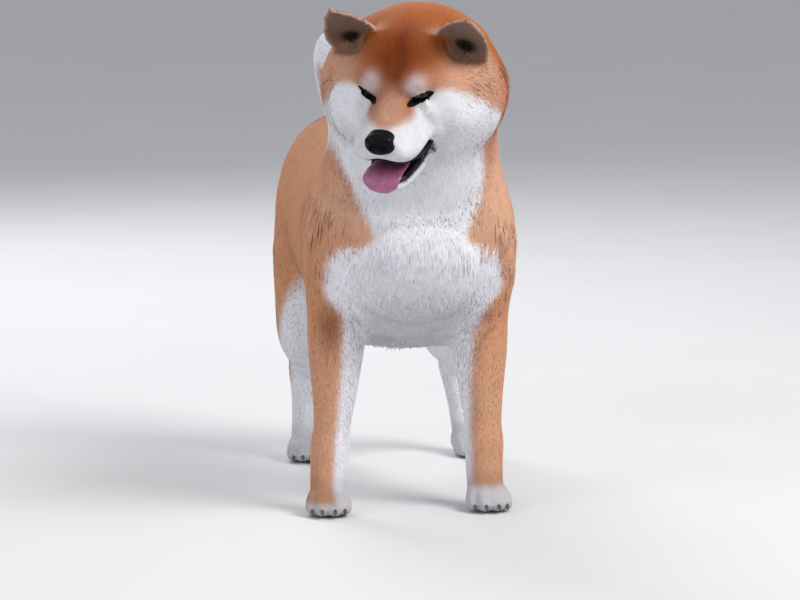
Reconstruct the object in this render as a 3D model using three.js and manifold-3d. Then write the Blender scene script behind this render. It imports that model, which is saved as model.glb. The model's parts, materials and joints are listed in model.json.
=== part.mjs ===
// A life-size standing shiba inu: head lowered and turned to its right, mouth open, tail over the back.
// Millimetres, +Z up. The dog faces -Y and its left side is +X. The surface is the outside of the coat.
import * as THREE from "three";
import { mergeVertices } from "three/addons/utils/BufferGeometryUtils.js";
import Module from "manifold-3d";

const wasm = await Module();
wasm.setup();

// Driving dimensions
const GAP = 0.3; // between nodes that touch
const PAW_TOP = 40; // height at which a paw is parted from its leg
const HEAD_TURN = THREE.MathUtils.degToRad(26.5); // towards the dog's right
const HEAD_DROP = THREE.MathUtils.degToRad(19.5);
const HEAD_TILT = THREE.MathUtils.degToRad(3.5); // left ear lower
const HEAD_AT = new THREE.Vector3(-17, -106, 467); // between the eyes and the ears, inside the skull
const EYE_RADIUS = 12;

// Coat and skin colours
const RED = 0xb4683a;
const DARK_RED = 0xa0562c;
const CREAM = 0xe6dccd;
const BLACK = 0x17151a;
const TONGUE_PINK = 0xb8688a;
const CLAW_GREY = 0x4a423d;

// Every soft form is a run of stations [x, y, z, wide, over, under]: a centre, the half-width across it,
// and how far the section reaches on its two other sides. "over" is up on the torso, head and jaw, and
// forward on legs and neck.
const TORSO = [
  [0, -62, 262, 62, 60, 58],
  [1, -42, 270, 88, 90, 90],
  [5, -10, 282, 107, 114, 112],
  [5, 35, 289, 111, 119, 118],
  [3, 95, 291, 107, 114, 114],
  [0, 155, 295, 100, 108, 105],
  [0, 215, 301, 96, 105, 97],
  [0, 270, 307, 95, 104, 88],
  [0, 318, 310, 89, 97, 80],
  [0, 350, 308, 70, 76, 64],
];
const NECK = [
  [0, 22, 288, 88, 82, 88],
  [2, -2, 338, 92, 85, 86],
  [2, -26, 386, 90, 82, 84],
  [-1, -46, 430, 88, 74, 82],
  [-3, -58, 472, 85, 58, 66],
  [-4, -64, 506, 66, 34, 46],
];
// In the head's own frame: nose towards -Y, origin at HEAD_AT
const CRANIUM = [
  [0, -46, -16, 41, 35, 40],
  [0, -32, -12, 60, 52, 54],
  [0, -10, -9, 80, 66, 68],
  [0, 15, -7, 94, 69, 74],
  [0, 42, -6, 94, 69.5, 72],
  [0, 68, -5, 78, 67, 62],
];
const MUZZLE = [
  [0, -107, -28, 22, 14, 14],
  [0, -93, -28, 30, 20, 18],
  [0, -70, -24, 33, 28, 25],
  [0, -48, -16, 35, 33, 33],
  [0, -20, -12, 48, 42, 44],
];
const JAW = [
  [0, -93, -77, 12, 6, 7],
  [0, -82, -78, 16.5, 8, 10],
  [0, -64, -77, 20.5, 10, 14],
  [0, -46, -75, 24, 11, 18],
  [0, -28, -70, 28, 13, 22],
  [0, -4, -62, 38, 16, 28],
];
const NOSE = [
  [0, -118, -23.5, 11, 8, 8.5],
  [0, -113, -22, 15.5, 12, 11.5],
  [0, -102, -18.5, 13.5, 10.5, 10],
];
const TONGUE = [
  [-4, -107, -75, 12, 2.6, 2.6],
  [-3, -108, -69, 18, 3, 3],
  [-2, -103, -63, 20, 3.2, 3.2],
  [-1, -91, -60, 19.5, 3.2, 3.2],
  [0, -70, -61, 18, 3.2, 3.2],
  [0, -46, -58, 15, 3.2, 3.2],
];
// One side of the lips' edges, from the corner of the mouth to the middle at the front
const LOWER_LIP = [
  [32, -23, -45],
  [29, -34, -53],
  [25, -47, -63],
  [21.5, -64, -67],
  [17, -82, -70],
  [9, -93, -72],
  [0, -96, -73],
];
const UPPER_LIP = [
  [33, -22, -43],
  [34, -42, -46],
  [31, -64, -48],
  [28, -86, -46],
  [20, -103, -42],
  [9, -109, -40],
  [0, -110, -39],
];
const LIP_RADIUS = 2.6;
// Left ear: middle of its root, its tip, and the line from the inner to the outer end of the root
const EAR = { root: [54, 2, 34], tip: [73, -27, 82.5], span: [46, 17, -38] };
// Along the ear: [distance from the root, half-width, front face, back face]. A negative front face is a
// hollow.
const EAR_SECTIONS = [
  [-12, 29, 3, 12],
  [0, 31, -9, 15.5],
  [20, 28.5, -10.5, 15.5],
  [37, 21, -7, 11.5],
  [51, 11.5, -2.5, 6.5],
  [59.5, 4, 0.6, 2.6],
];
// Left eye, as seen from in front: [x, z] of its outline's corners, how deep the ball sits, and how far
// its opening reaches above and below
const EYE = { inner: [18.2, 2], outer: [39.4, 11], deep: 2.2, above: 4.8, below: 3.4 };
const LID_RADIUS = 2.4;
// Left nostril, from its front opening back along its slit
const NOSTRIL = [
  [6.5, -122, -23, 2.8, 2.6, 2.4],
  [8.5, -116, -21, 2.6, 2.4, 2.2],
  [13.5, -111, -20, 2.6, 1.6, 1.4],
  [17, -106, -19.5, 2.4, 1.2, 1],
];
const PHILTRUM = [
  [0, -122, -28, 0.9, 2.5, 6],
  [0, -117, -28, 0.7, 2.5, 6],
];

// Locks of the long coat. Each is [length, half-width, half-thickness].
const LOCK_SIZES = {
  tail: [
    [72, 23, 7],
    [64, 25, 7.5],
    [58, 21, 6.5],
  ],
  ruff: [
    [64, 25, 5],
    [58, 22, 4.5],
    [72, 27, 5],
  ],
  cheek: [
    [54, 21, 4.5],
    [48, 18, 4],
  ],
  breeches: [
    [60, 18, 5],
    [52, 15, 4.5],
  ],
};

// Legs run from the foot up. x is the distance from the midline on that leg's own side.
const FORELEG = [
  [88, -12, 26, 19, 19, 17],
  [86, -6, 48, 19.5, 19.5, 19],
  [84, -3, 70, 20.5, 21, 20.5],
  [81, -1, 94, 19.5, 20, 20],
  [78, 1, 132, 24, 24, 26],
  [76, 4, 172, 29, 30, 34],
  [74, 6, 212, 31.5, 38, 41],
  [69, -4, 252, 35, 46, 46],
  [64, -12, 296, 33, 50, 50],
  [58, -8, 330, 26, 44, 46],
];
const HIND_UPPER = [
  [66, 322, 152, 27, 36, 38],
  [65, 300, 200, 34, 52, 56],
  [58, 300, 250, 42, 64, 66],
  [48, 306, 298, 42, 64, 60],
  [40, 308, 334, 34, 50, 48],
];
const HIND_LOWER = [
  [0, 346, 26, 18, 18, 16],
  [0, 350, 46, 16.5, 17, 17],
  [0, 357, 74, 16, 17.5, 18.5],
  [0, 363, 102, 18, 21, 20],
  [0, 345, 126, 22, 26, 27],
];
// How each foot stands: its distance from the midline, how far it turns outwards, and how far its joints
// spread
const STANCE = {
  foreleg_right: { foot: 87, turn: 8, elbow: 0 },
  foreleg_left: { foot: 81, turn: 0, elbow: 5 },
  hindleg_right: { foot: 56, turn: 6, hock: 56, stifle: 0 },
  hindleg_left: { foot: 139, turn: 14, hock: 122, stifle: 34 },
};

// Tail, root to tip, with the brush's full radius, and where it is parted into lengths
const TAIL = [
  [0, 326, 366, 26, 27, 27],
  [-2, 360, 396, 31, 31, 31],
  [-8, 371, 436, 35, 33, 35],
  [-13, 345, 466, 38, 34, 37],
  [-12, 305, 472, 38, 35, 37],
  [-4, 270, 456, 34, 32, 33],
  [14, 258, 434, 27, 24, 25],
  [36, 272, 418, 18, 16, 16],
];
const TAIL_CUTS = [0.36, 0.68];
const TAIL_CORE = 0.64; // of the brush's radius

const SIDES = ["right", "left"];
const signOf = (side) => (side === "left" ? 1 : -1);
const { cos, sin, abs, sign, PI, hypot, max, min, exp } = Math;

// A point of the closed curve |u/wide|^square + |v/reach|^square = 1 at an angle round it
function sectionPoint(angle, [wide, over, under], square, taper) {
  const c = cos(angle);
  const s = sin(angle);
  const rise = sign(s) * abs(s) ** (2 / square);
  const across = sign(c) * abs(c) ** (2 / square) * (1 - taper * rise);
  return [wide * across, (s > 0 ? over : under) * rise];
}

// A closed form swept through its stations, with domed ends. It keeps its rings, so that others can
// measure to it.
class Form {
  constructor(stations, options = {}) {
    const plain = { sides: 16, rings: 14, square: 2.2, taper: 0, ends: [8, 8], capRings: 2 };
    Object.assign(this, plain, { grow: 0, across: [1, 0, 0] }, options);
    const curve = (k) =>
      new THREE.CatmullRomCurve3(
        stations.map((s) => new THREE.Vector3(s[k], s[k + 1], s[k + 2])),
        false,
        "catmullrom",
        0.5,
      );
    this.path = curve(0);
    this.sizes = curve(3);
    this.frames = [];
    for (let i = 0; i <= this.rings; i++) this.frames.push(this.frameAt(i / this.rings));
  }

  // Centre, axes and sizes of the section at t, from 0 at the first station to 1 at the last
  frameAt(t) {
    const along = this.path.getTangent(t);
    const across = new THREE.Vector3(...this.across);
    across.addScaledVector(along, -along.dot(across)).normalize();
    const over = across.clone().cross(along);
    const reach = this.sizes.getPoint(t).toArray();
    return { centre: this.path.getPoint(t), along, across, over, reach: reach.map((r) => r + this.grow) };
  }

  // The surface point at t along the form and an angle round it, raised by lift
  surface(t, angle, lift = 0) {
    const f = this.frameAt(t);
    const [u, v] = sectionPoint(angle, f.reach, this.square, this.taper);
    const outward = f.across.clone().multiplyScalar(u).addScaledVector(f.over, v);
    const length = outward.length();
    return f.centre.clone().addScaledVector(outward, (length + lift) / length);
  }

  geometry() {
    const { sides, ends, capRings, square, taper, grow } = this;
    const points = [];
    const ring = (f, scale, shift) => {
      for (let j = 0; j < sides; j++) {
        const [u, v] = sectionPoint((2 * PI * j) / sides, f.reach, square, taper);
        points.push(
          f.centre
            .clone()
            .addScaledVector(f.along, shift)
            .addScaledVector(f.across, u * scale)
            .addScaledVector(f.over, v * scale),
        );
      }
    };
    const first = this.frames[0];
    const last = this.frames[this.frames.length - 1];
    const startCap = ends[0] + grow;
    const endCap = ends[1] + grow;
    const pole = (f, shift) => points.push(f.centre.clone().addScaledVector(f.along, shift));
    pole(first, -startCap);
    for (let k = capRings; k > 0; k--) {
      const a = (k * PI) / 2 / (capRings + 1);
      ring(first, cos(a), -startCap * sin(a));
    }
    this.frames.forEach((f) => ring(f, 1, 0));
    for (let k = 1; k <= capRings; k++) {
      const a = (k * PI) / 2 / (capRings + 1);
      ring(last, cos(a), endCap * sin(a));
    }
    pole(last, endCap);
    const index = [];
    const ringCount = this.frames.length + 2 * capRings;
    const at = (i, j) => 1 + i * sides + (j % sides);
    for (let j = 0; j < sides; j++) {
      index.push(0, at(0, j + 1), at(0, j));
      index.push(points.length - 1, at(ringCount - 1, j), at(ringCount - 1, j + 1));
      for (let i = 0; i < ringCount - 1; i++) {
        index.push(at(i, j), at(i, j + 1), at(i + 1, j));
        index.push(at(i, j + 1), at(i + 1, j + 1), at(i + 1, j));
      }
    }
    return closedGeometry(points, index);
  }

  // About how far a point is outside the form, negative inside
  distance(point) {
    let best = 0;
    let nearest = Infinity;
    this.frames.forEach((f, i) => {
      const d = f.centre.distanceToSquared(point);
      if (d < nearest) [nearest, best] = [d, i];
    });
    const f = this.frames[best];
    const away = point.clone().sub(f.centre);
    const [u, v, w] = [away.dot(f.across), away.dot(f.over), away.dot(f.along)];
    const [wide, over, under] = f.reach;
    const n = this.square;
    const rho = ((abs(u) / wide) ** n + (abs(v) / (v > 0 ? over : under)) ** n) ** (1 / n);
    const beyond = (best === 0 && w < 0) || (best === this.frames.length - 1 && w > 0) ? abs(w) : 0;
    if (beyond) return hypot(max(0, hypot(u, v) * (1 - 1 / max(rho, 1e-6))), beyond);
    return hypot(u, v) * (1 - 1 / max(rho, 1e-6));
  }
}

// An indexed geometry whose faces point outwards
function closedGeometry(points, index) {
  const g = new THREE.BufferGeometry().setFromPoints(points).setIndex(index);
  let volume = 0;
  for (let i = 0; i < index.length; i += 3) {
    const [a, b, c] = [points[index[i]], points[index[i + 1]], points[index[i + 2]]];
    volume += a.dot(b.clone().cross(c));
  }
  if (volume < 0)
    for (let i = 0; i < index.length; i += 3) [index[i + 1], index[i + 2]] = [index[i + 2], index[i + 1]];
  return g.setIndex(index);
}

// Moves each vertex along its normal by push(point)
function displace(geometry, push) {
  geometry.computeVertexNormals();
  const { position, normal } = geometry.attributes;
  const p = new THREE.Vector3();
  const n = new THREE.Vector3();
  for (let i = 0; i < position.count; i++) {
    p.fromBufferAttribute(position, i);
    n.fromBufferAttribute(normal, i);
    p.addScaledVector(n, push(p));
    position.setXYZ(i, p.x, p.y, p.z);
  }
  return geometry;
}

// Swells a form where it meets its neighbours, as flesh and coat do, over the given reach
function fillet(geometry, neighbours, reach) {
  return displace(geometry, (p) =>
    neighbours.reduce((sum, form) => sum + max(0, reach - abs(form.distance(p))) ** 2 / (4 * reach), 0),
  );
}

// Rounded swellings and hollows: each has a centre, a size along each axis and a height in mm
function shapeBumps(geometry, bumps) {
  return displace(geometry, (p) =>
    bumps.reduce((sum, { at, size, push }) => {
      const d = [p.x - at[0], p.y - at[1], p.z - at[2]].map((v, k) => (v / size[k]) ** 2);
      return sum + push * exp(-(d[0] + d[1] + d[2]));
    }, 0),
  );
}

function solidOf(geometry) {
  const bare = new THREE.BufferGeometry().setAttribute("position", geometry.getAttribute("position"));
  if (geometry.index) bare.setIndex(geometry.index);
  const merged = mergeVertices(bare, 1e-4);
  return new wasm.Manifold(
    new wasm.Mesh({
      numProp: 3,
      vertProperties: new Float32Array(merged.attributes.position.array),
      triVerts: new Uint32Array(merged.index.array),
    }),
  );
}

const join = (solids) => solids.reduce((a, b) => a.add(b));
const cut = (solid, ...tools) => tools.reduce((a, b) => a.subtract(b), solid);
const largest = (solid) => solid.decompose().reduce((a, b) => (b.volume() > a.volume() ? b : a));

function meshOf(name, solid, colour, roughness = 0.85) {
  const kept = largest(solid).getMesh();
  const n = kept.numProp;
  const position = new Float32Array(kept.numVert * 3);
  for (let i = 0; i < kept.numVert; i++) {
    position.set(kept.vertProperties.subarray(i * n, i * n + 3), i * 3);
  }
  const geometry = new THREE.BufferGeometry()
    .setAttribute("position", new THREE.BufferAttribute(position, 3))
    .setIndex(new THREE.BufferAttribute(kept.triVerts, 1));
  geometry.computeVertexNormals();
  const material = new THREE.MeshStandardMaterial({ color: colour, roughness, metalness: 0 });
  const mesh = new THREE.Mesh(geometry, material);
  mesh.name = name;
  return mesh;
}

// A box with its lowest face centred on the origin, turned so that its +Z follows up, then moved to at
const UP = new THREE.Vector3(0, 0, 1);
function boxOn(at, up, [sizeX, sizeY, sizeZ]) {
  const g = new THREE.BoxGeometry(sizeX, sizeY, sizeZ).translate(0, 0, sizeZ / 2);
  const turn = new THREE.Quaternion().setFromUnitVectors(UP, up.clone().normalize());
  return solidOf(g.applyQuaternion(turn).translate(at.x, at.y, at.z));
}

// Head frame: +X to the dog's left, -Y along the muzzle, +Z out of the crown
const forward = new THREE.Vector3(
  -sin(HEAD_TURN) * cos(HEAD_DROP),
  -cos(HEAD_TURN) * cos(HEAD_DROP),
  -sin(HEAD_DROP),
);
const level = new THREE.Vector3(cos(HEAD_TURN), -sin(HEAD_TURN), 0);
const leftward = level.clone().applyAxisAngle(forward, -HEAD_TILT);
const crownward = forward.clone().cross(leftward);
const HEAD_POSE = new THREE.Matrix4()
  .makeBasis(leftward, forward.clone().negate(), crownward)
  .setPosition(HEAD_AT);
const inHead = (geometry) => geometry.applyMatrix4(HEAD_POSE);
const headForm = (stations, options) => inHead(new Form(stations, options).geometry());

function mirrored(stations, side) {
  return stations.map(([x, ...rest]) => [x * signOf(side), ...rest]);
}

// Each leg bends sideways to meet its foot where it stands
function legStations(name) {
  const { foot, elbow, hock, stifle } = STANCE[name];
  const side = name.endsWith("left") ? "left" : "right";
  if (name.startsWith("fore")) {
    const spread = (z) => (foot - FORELEG[0][0]) * max(0, 1 - z / 90) + elbow * min(1, z / 180);
    return mirrored(
      FORELEG.map(([x, y, z, ...size]) => [x + spread(z), y, z, ...size]),
      side,
    );
  }
  const lower = HIND_LOWER.map(([, y, z, ...size]) => [foot + ((hock - foot) * z) / 102, y, z, ...size]);
  const upper = HIND_UPPER.map(([x, y, z, ...size]) => [x + (stifle * (334 - z)) / 182, y, z, ...size]);
  return mirrored([...lower, ...upper], side);
}

// Body forms
const LEGS = Object.keys(STANCE);
const forms = {
  torso: new Form(TORSO, { sides: 18, rings: 10, square: 2.35, ends: [26, 30] }),
  neck: new Form(NECK, { sides: 18, rings: 7, square: 2.1, ends: [20, 22], capRings: 1 }),
};
LEGS.forEach((name) => {
  const options = { sides: 10, rings: 9, ends: [10, 18], square: 2.1, capRings: 1 };
  forms[name] = new Form(legStations(name), options);
});

// Toes and pad of one foot. Toes are set out from the foot's middle, the outer two further back.
const TOES = [
  { x: -14, back: 9, size: 7.8 },
  { x: -5.5, back: 0, size: 8.6 },
  { x: 5.5, back: 0, size: 8.6 },
  { x: 14, back: 9, size: 7.8 },
];
const TOE_LENGTH = 30;
const CLAW = { length: 4.5, radius: 2.4, tip: 0.6 };
const PAD = [
  [0, -16, 12, 17, 10, 12],
  [0, -4, 17, 20, 16, 17],
  [0, 10, 18, 17, 17, 18],
];

function toeStations({ x, back, size }) {
  const front = -14 - TOE_LENGTH + back;
  return [
    [x * 1.25, front + 5, size + 0.4, size * 0.86, size * 0.72, size * 0.8],
    [x * 1.15, front + 15, 13, size * 1.05, size * 1.3, 13],
    [x * 0.9, front + 30, 20, size, size * 1.25, 20],
  ];
}

// A curved claw from the toe's tip, ending just above the ground
function clawStations(toe) {
  const [x, y, z] = toeStations(toe)[0];
  const { length, radius, tip } = CLAW;
  return [
    [x, y - 5 - length, z - length, tip, tip, tip],
    [x, y - 5 - length * 0.5, z - length * 0.25, radius * 0.8, radius * 0.9, radius * 0.9],
    [x, y - 1, z, radius, radius, radius],
  ];
}

const clawOptions = { sides: 4, rings: 2, ends: [0.4, 1], capRings: 0, square: 2 };
// The foot's own pieces, turned and moved to where it stands
function pawGeometries(name) {
  const [x, y] = legStations(name)[0];
  const turn = THREE.MathUtils.degToRad(STANCE[name].turn) * (name.endsWith("left") ? 1 : -1);
  const pieces = [
    new Form(PAD, { sides: 8, rings: 1, ends: [7, 9], capRings: 1 }),
    ...TOES.map((toe) => new Form(toeStations(toe), { sides: 6, rings: 2, ends: [5, 4], capRings: 1 })),
    ...TOES.map((toe) => new Form(clawStations(toe), clawOptions)),
  ];
  return pieces.map((piece) => piece.geometry().rotateZ(turn).translate(x, y, 0));
}

// What reaches below the ground is cut off flat
const below = boxOn(new THREE.Vector3(0, 150, -60), UP, [900, 1200, 60]);
const pawRegion = (lift) => boxOn(new THREE.Vector3(0, 150, lift - 200), UP, [900, 1200, 200]);

const torsoNeighbours = [forms.neck, ...LEGS.map((name) => forms[name])];
const torsoGeometry = fillet(forms.torso.geometry(), torsoNeighbours, 26);
const neckGeometry = fillet(forms.neck.geometry(), [forms.torso], 30);
const legGeometries = LEGS.map((name) => fillet(forms[name].geometry(), [forms.torso], 22));
const flesh = join([torsoGeometry, neckGeometry, ...legGeometries].map(solidOf));

const nodes = [];
const addNode = (...args) => nodes.push(meshOf(...args));

// Each leg is what the flesh holds inside a wider form round that leg, and the torso is what is left
const legRegions = LEGS.map((name) => {
  const fore = name.startsWith("fore");
  const stations = legStations(name).slice(0, fore ? 7 : 8);
  const margin = fore ? 13 : 12;
  const region = (grow) =>
    solidOf(new Form(stations, { sides: 10, rings: 7, ends: [30, 26], grow: margin + grow }).geometry());
  return { name, inner: region(0), outer: region(GAP) };
});
const neckUp = new THREE.Vector3(0, -0.7, 0.71);
const neckRegion = (lift) =>
  boxOn(new THREE.Vector3(0, -30, 352).addScaledVector(neckUp, lift), neckUp, [500, 500, 400]);

// Head, with eyes, ears, nose, lips, jaw and tongue
const headOptions = { sides: 20, rings: 7, square: 2.25, taper: 0.1, ends: [8, 24] };
const muzzleOptions = { sides: 16, rings: 6, square: 2.4, taper: 0.38, ends: [6, 8] };
const roundOptions = { sides: 4, square: 2, capRings: 0, across: [0, 0, 1] };
const lipForm = (side, grow) => {
  const whole = [...side.map(([x, y, z]) => [-x, y, z]), ...side.slice(0, -1).reverse()];
  const stations = whole.map((at) => [...at, LIP_RADIUS, LIP_RADIUS, LIP_RADIUS]);
  return solidOf(headForm(stations, { ...roundOptions, rings: 14, ends: [2, 2], grow }));
};
// Swellings (push > 0) and hollows of the left half of the face and their mirror images, in the head's
// frame
const FACE = [
  { at: [23, -46, 20], size: [14, 18, 8], push: 5 },
  { at: [29, -50, 4], size: [14, 14, 8], push: -4 },
  { at: [0, -34, 40], size: [5, 40, 26], push: -2.2 },
  { at: [58, -28, -26], size: [24, 26, 26], push: 7 },
  { at: [22, -94, -36], size: [12, 20, 12], push: 3.5 },
  { at: [0, -56, 4], size: [10, 16, 12], push: -2 },
  { at: [56, -10, 36], size: [20, 18, 18], push: -10 },
];
const face = FACE.flatMap((b) => (b.at[0] ? [b, { ...b, at: [-b.at[0], b.at[1], b.at[2]] }] : [b]));
function faceGeometry(stations, options, neighbour) {
  return shapeBumps(fillet(new Form(stations, options).geometry(), [neighbour], 18), face);
}
const skull = (grow) =>
  solidOf(inHead(faceGeometry(CRANIUM, { ...headOptions, grow }, new Form(MUZZLE, muzzleOptions))));
const snout = (grow) =>
  solidOf(inHead(faceGeometry(MUZZLE, { ...muzzleOptions, grow }, new Form(CRANIUM, headOptions))));
const cutOptions = { sides: 4, ends: [1, 1], capRings: 0 };
const noseCuts = [
  ...SIDES.map((side) => new Form(mirrored(NOSTRIL, side), { ...cutOptions, rings: 3 })),
  new Form(PHILTRUM, { ...cutOptions, rings: 1 }),
].map((form) => solidOf(inHead(form.geometry())));
const noseOptions = { sides: 12, rings: 4, square: 2.4, ends: [3.5, 3] };
const tongueOptions = { sides: 10, rings: 9, square: 2.2, ends: [3.5, 3], capRings: 1 };
const jawOptions = { sides: 12, rings: 6, square: 2.4, taper: -0.1, ends: [4, 8], capRings: 1 };
const nose = (grow) => solidOf(headForm(NOSE, { ...noseOptions, grow }));
const tongue = (grow) => solidOf(headForm(TONGUE, { ...tongueOptions, grow }));
const jaw = (grow) => solidOf(headForm(JAW, { ...jawOptions, grow }));
const earOptions = { sides: 12, rings: 7, square: 2.1, ends: [4, 2.5], capRings: 0 };
function ear(side, grow) {
  const sign = signOf(side);
  const [root, tip] = [new THREE.Vector3(...EAR.root), new THREE.Vector3(...EAR.tip)];
  const up = tip.clone().sub(root).normalize();
  // The room left for an ear takes its hollow in as well
  const stations = EAR_SECTIONS.map(([s, wide, front, back]) => {
    const at = root.clone().addScaledVector(up, s);
    return [at.x * sign, at.y, at.z, wide, grow ? max(front, EAR_SECTIONS[0][2]) : front, back];
  });
  const across = [EAR.span[0], EAR.span[1] * sign, EAR.span[2] * sign];
  return solidOf(headForm(stations, { ...earOptions, grow, across }));
}

// How far forward the face's surface is, in front of a point [x, z] of the head's frame
const bothFaces = new THREE.MeshStandardMaterial({ side: THREE.DoubleSide });
const faceMeshes = [
  faceGeometry(CRANIUM, headOptions, new Form(MUZZLE, muzzleOptions)),
  faceGeometry(MUZZLE, muzzleOptions, new Form(CRANIUM, headOptions)),
].map((geometry) => new THREE.Mesh(geometry, bothFaces));
function faceDepth([x, z]) {
  const ray = new THREE.Raycaster(new THREE.Vector3(x, -400, z), new THREE.Vector3(0, 1, 0));
  return ray.intersectObjects(faceMeshes)[0].point.y;
}
const eyeMiddle = EYE.inner.map((v, k) => (v + EYE.outer[k]) / 2);
const eyeDepth = faceDepth(eyeMiddle);

function eyeball(side, grow) {
  const ball = new THREE.SphereGeometry(EYE_RADIUS + grow, 10, 8);
  ball.translate(eyeMiddle[0] * signOf(side), eyeDepth + EYE.deep + EYE_RADIUS, eyeMiddle[1]);
  return solidOf(inHead(ball));
}

// An almond-shaped passage from the eyeball out through the lids
function eyeOpening(side) {
  const half = hypot(EYE.outer[0] - EYE.inner[0], EYE.outer[1] - EYE.inner[1]) / 2;
  const stations = [10, 0, -26].map((forth) => [
    (eyeMiddle[0] - forth * 0.15) * signOf(side),
    eyeDepth + forth,
    eyeMiddle[1],
    half * (1 - forth * 0.02),
    EYE.above * (1 - forth * 0.03),
    EYE.below * (1 - forth * 0.03),
  ]);
  const across = [EYE.outer[0] - EYE.inner[0], 0, (EYE.outer[1] - EYE.inner[1]) * signOf(side)];
  const options = { sides: 12, rings: 3, square: 1.5, ends: [1, 1], capRings: 0 };
  return solidOf(headForm(stations, { ...options, across }));
}

// One lid's rim: an arc over or under the opening from corner to corner, half sunk in the face
function lid(side, reach) {
  const stations = [-0.02, 0.25, 0.5, 0.75, 1.02].map((s) => {
    const bow = sin(PI * THREE.MathUtils.clamp(s, 0, 1)) ** 0.7 * reach;
    const at = EYE.inner.map((v, k) => v + (EYE.outer[k] - v) * s + (k ? bow : 0));
    const depth = THREE.MathUtils.clamp(faceDepth(at), eyeDepth - 4, eyeDepth + 9);
    return [at[0] * signOf(side), depth + 0.6, at[1], LID_RADIUS, LID_RADIUS, LID_RADIUS];
  });
  return solidOf(headForm(stations, { ...roundOptions, rings: 4, ends: [1.5, 1.5] }));
}
const lids = SIDES.flatMap((side) => [lid(side, EYE.above + 1.2), lid(side, -EYE.below - 1)]);

// A repeatable run of numbers from 0 to 1
function seeded(seed) {
  let state = seed;
  return () => {
    state = (state * 16807) % 2147483647;
    return state / 2147483647;
  };
}

// A flat tapered lock of hair, rooted in a form at t along it and an angle round it. It follows the
// form's surface towards its end (toward 1) or its start (-1), turns by drift on the way, and its tip
// stands lift off the surface.
function lockGeometry(form, { t, angle, toward, drift, size, lift, sink, grow }) {
  const [length, wide, thick] = size;
  const share = length / form.path.getLength();
  const point = (forth, out) => {
    const here = t + toward * forth * share;
    const kept = THREE.MathUtils.clamp(here, 0, 1);
    const past = form.frameAt(kept).along.multiplyScalar((here - kept) * form.path.getLength());
    return form.surface(kept, angle + drift * forth, out).add(past);
  };
  const stations = [
    [...point(-0.12, -sink), wide * 0.8, thick, thick],
    [...point(0.25, thick * 0.1), wide, thick, thick],
    [...point(0.65, lift * 0.6), wide * 0.72, thick * 0.8, thick * 0.7],
    [...point(1, lift), wide * 0.1, 0.5, 0.5],
  ];
  const run = point(1, 0).sub(point(0, 0)).normalize();
  const across = run.cross(point(0.4, 10).sub(point(0.4, 0)).normalize()).toArray();
  const options = { sides: 4, rings: 2, square: 2, ends: [0.5, 0.5], capRings: 0, across, grow };
  return new Form(stations, options).geometry();
}

// Rows of locks over part of a form, alternate rows set half a step round
function lockRows(form, { kind, seed, along, around, rows, columns, toward, lift, sink = 6 }, grow = 0) {
  const random = seeded(seed);
  const sizes = LOCK_SIZES[kind];
  const locks = [];
  for (let i = 0; i < rows; i++) {
    for (let j = 0; j < columns; j++) {
      const share = (i + 0.3 * (random() - 0.5)) / max(1, rows - 1);
      const turn = (j + 0.5 * (i % 2) + 0.25 * (random() - 0.5)) / columns;
      locks.push(
        lockGeometry(form, {
          t: along[0] + (along[1] - along[0]) * share,
          angle: around[0] + (around[1] - around[0]) * turn,
          toward,
          drift: 0.16 * (random() - 0.5),
          size: sizes[Math.floor(random() * sizes.length)],
          lift: lift * (0.7 + 0.6 * random()),
          sink,
          grow,
        }),
      );
    }
  }
  return locks;
}

const RUFF = {
  kind: "ruff",
  seed: 11,
  along: [0.72, 0.34],
  around: [-0.4, PI + 0.4],
  rows: 3,
  columns: 5,
  toward: -1,
  lift: 4,
};
const CHEEKS = { kind: "cheek", along: [0.4, 0.6], rows: 2, columns: 3, toward: 1, lift: 2 };
const CHEEK_AROUND = { left: [-1.25, 0.15], right: [PI + 1.25, PI - 0.15] };
const BREECHES = {
  kind: "breeches",
  seed: 41,
  along: [0.88, 0.68],
  around: [-2.05, -0.75],
  rows: 3,
  columns: 2,
  toward: -1,
  lift: 3,
};
const BRUSH = {
  kind: "tail",
  seed: 5,
  along: [0.06, 0.88],
  around: [0, 2 * PI],
  rows: 6,
  columns: 4,
  toward: 1,
  lift: 8,
};

const skullForm = new Form(CRANIUM, headOptions);
const ruffLocks = (grow) => lockRows(forms.neck, RUFF, grow).map(solidOf);
const cheekLocks = (grow) =>
  SIDES.flatMap((side, i) => {
    const settings = { ...CHEEKS, seed: 23 + i, around: CHEEK_AROUND[side] };
    return lockRows(skullForm, settings, grow).map((lock) => solidOf(inHead(lock)));
  });
const breechLocks = (name, grow) => lockRows(forms[name], BREECHES, grow).map(solidOf);

const headWhole = join([skull(0), snout(0), lipForm(UPPER_LIP, 0), ...lids, ...cheekLocks(0)]);
const mouthParts = join([jaw(0), lipForm(LOWER_LIP, 0)]);
const headRoom = join([skull(GAP), snout(GAP), lipForm(UPPER_LIP, GAP), ...cheekLocks(GAP)]);
const jawRoom = join([jaw(GAP), lipForm(LOWER_LIP, GAP)]);
const ears = SIDES.map((side) => ear(side, 0));
const earRoom = SIDES.map((side) => ear(side, GAP));
const eyeRoom = SIDES.flatMap((side) => [eyeball(side, GAP), eyeOpening(side)]);

// The tail's core, with the brush's locks out to its full radius
const tailCore = TAIL.map(([x, y, z, ...size]) => [x, y, z, ...size.map((r) => r * TAIL_CORE)]);
const tailForm = (grow) => new Form(tailCore, { sides: 8, rings: 12, ends: [10, 12], grow });
const tailSolid = (grow) =>
  join([tailForm(grow).geometry(), ...lockRows(tailForm(0), BRUSH, grow)].map(solidOf));
const wholeTail = tailSolid(0);
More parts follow.
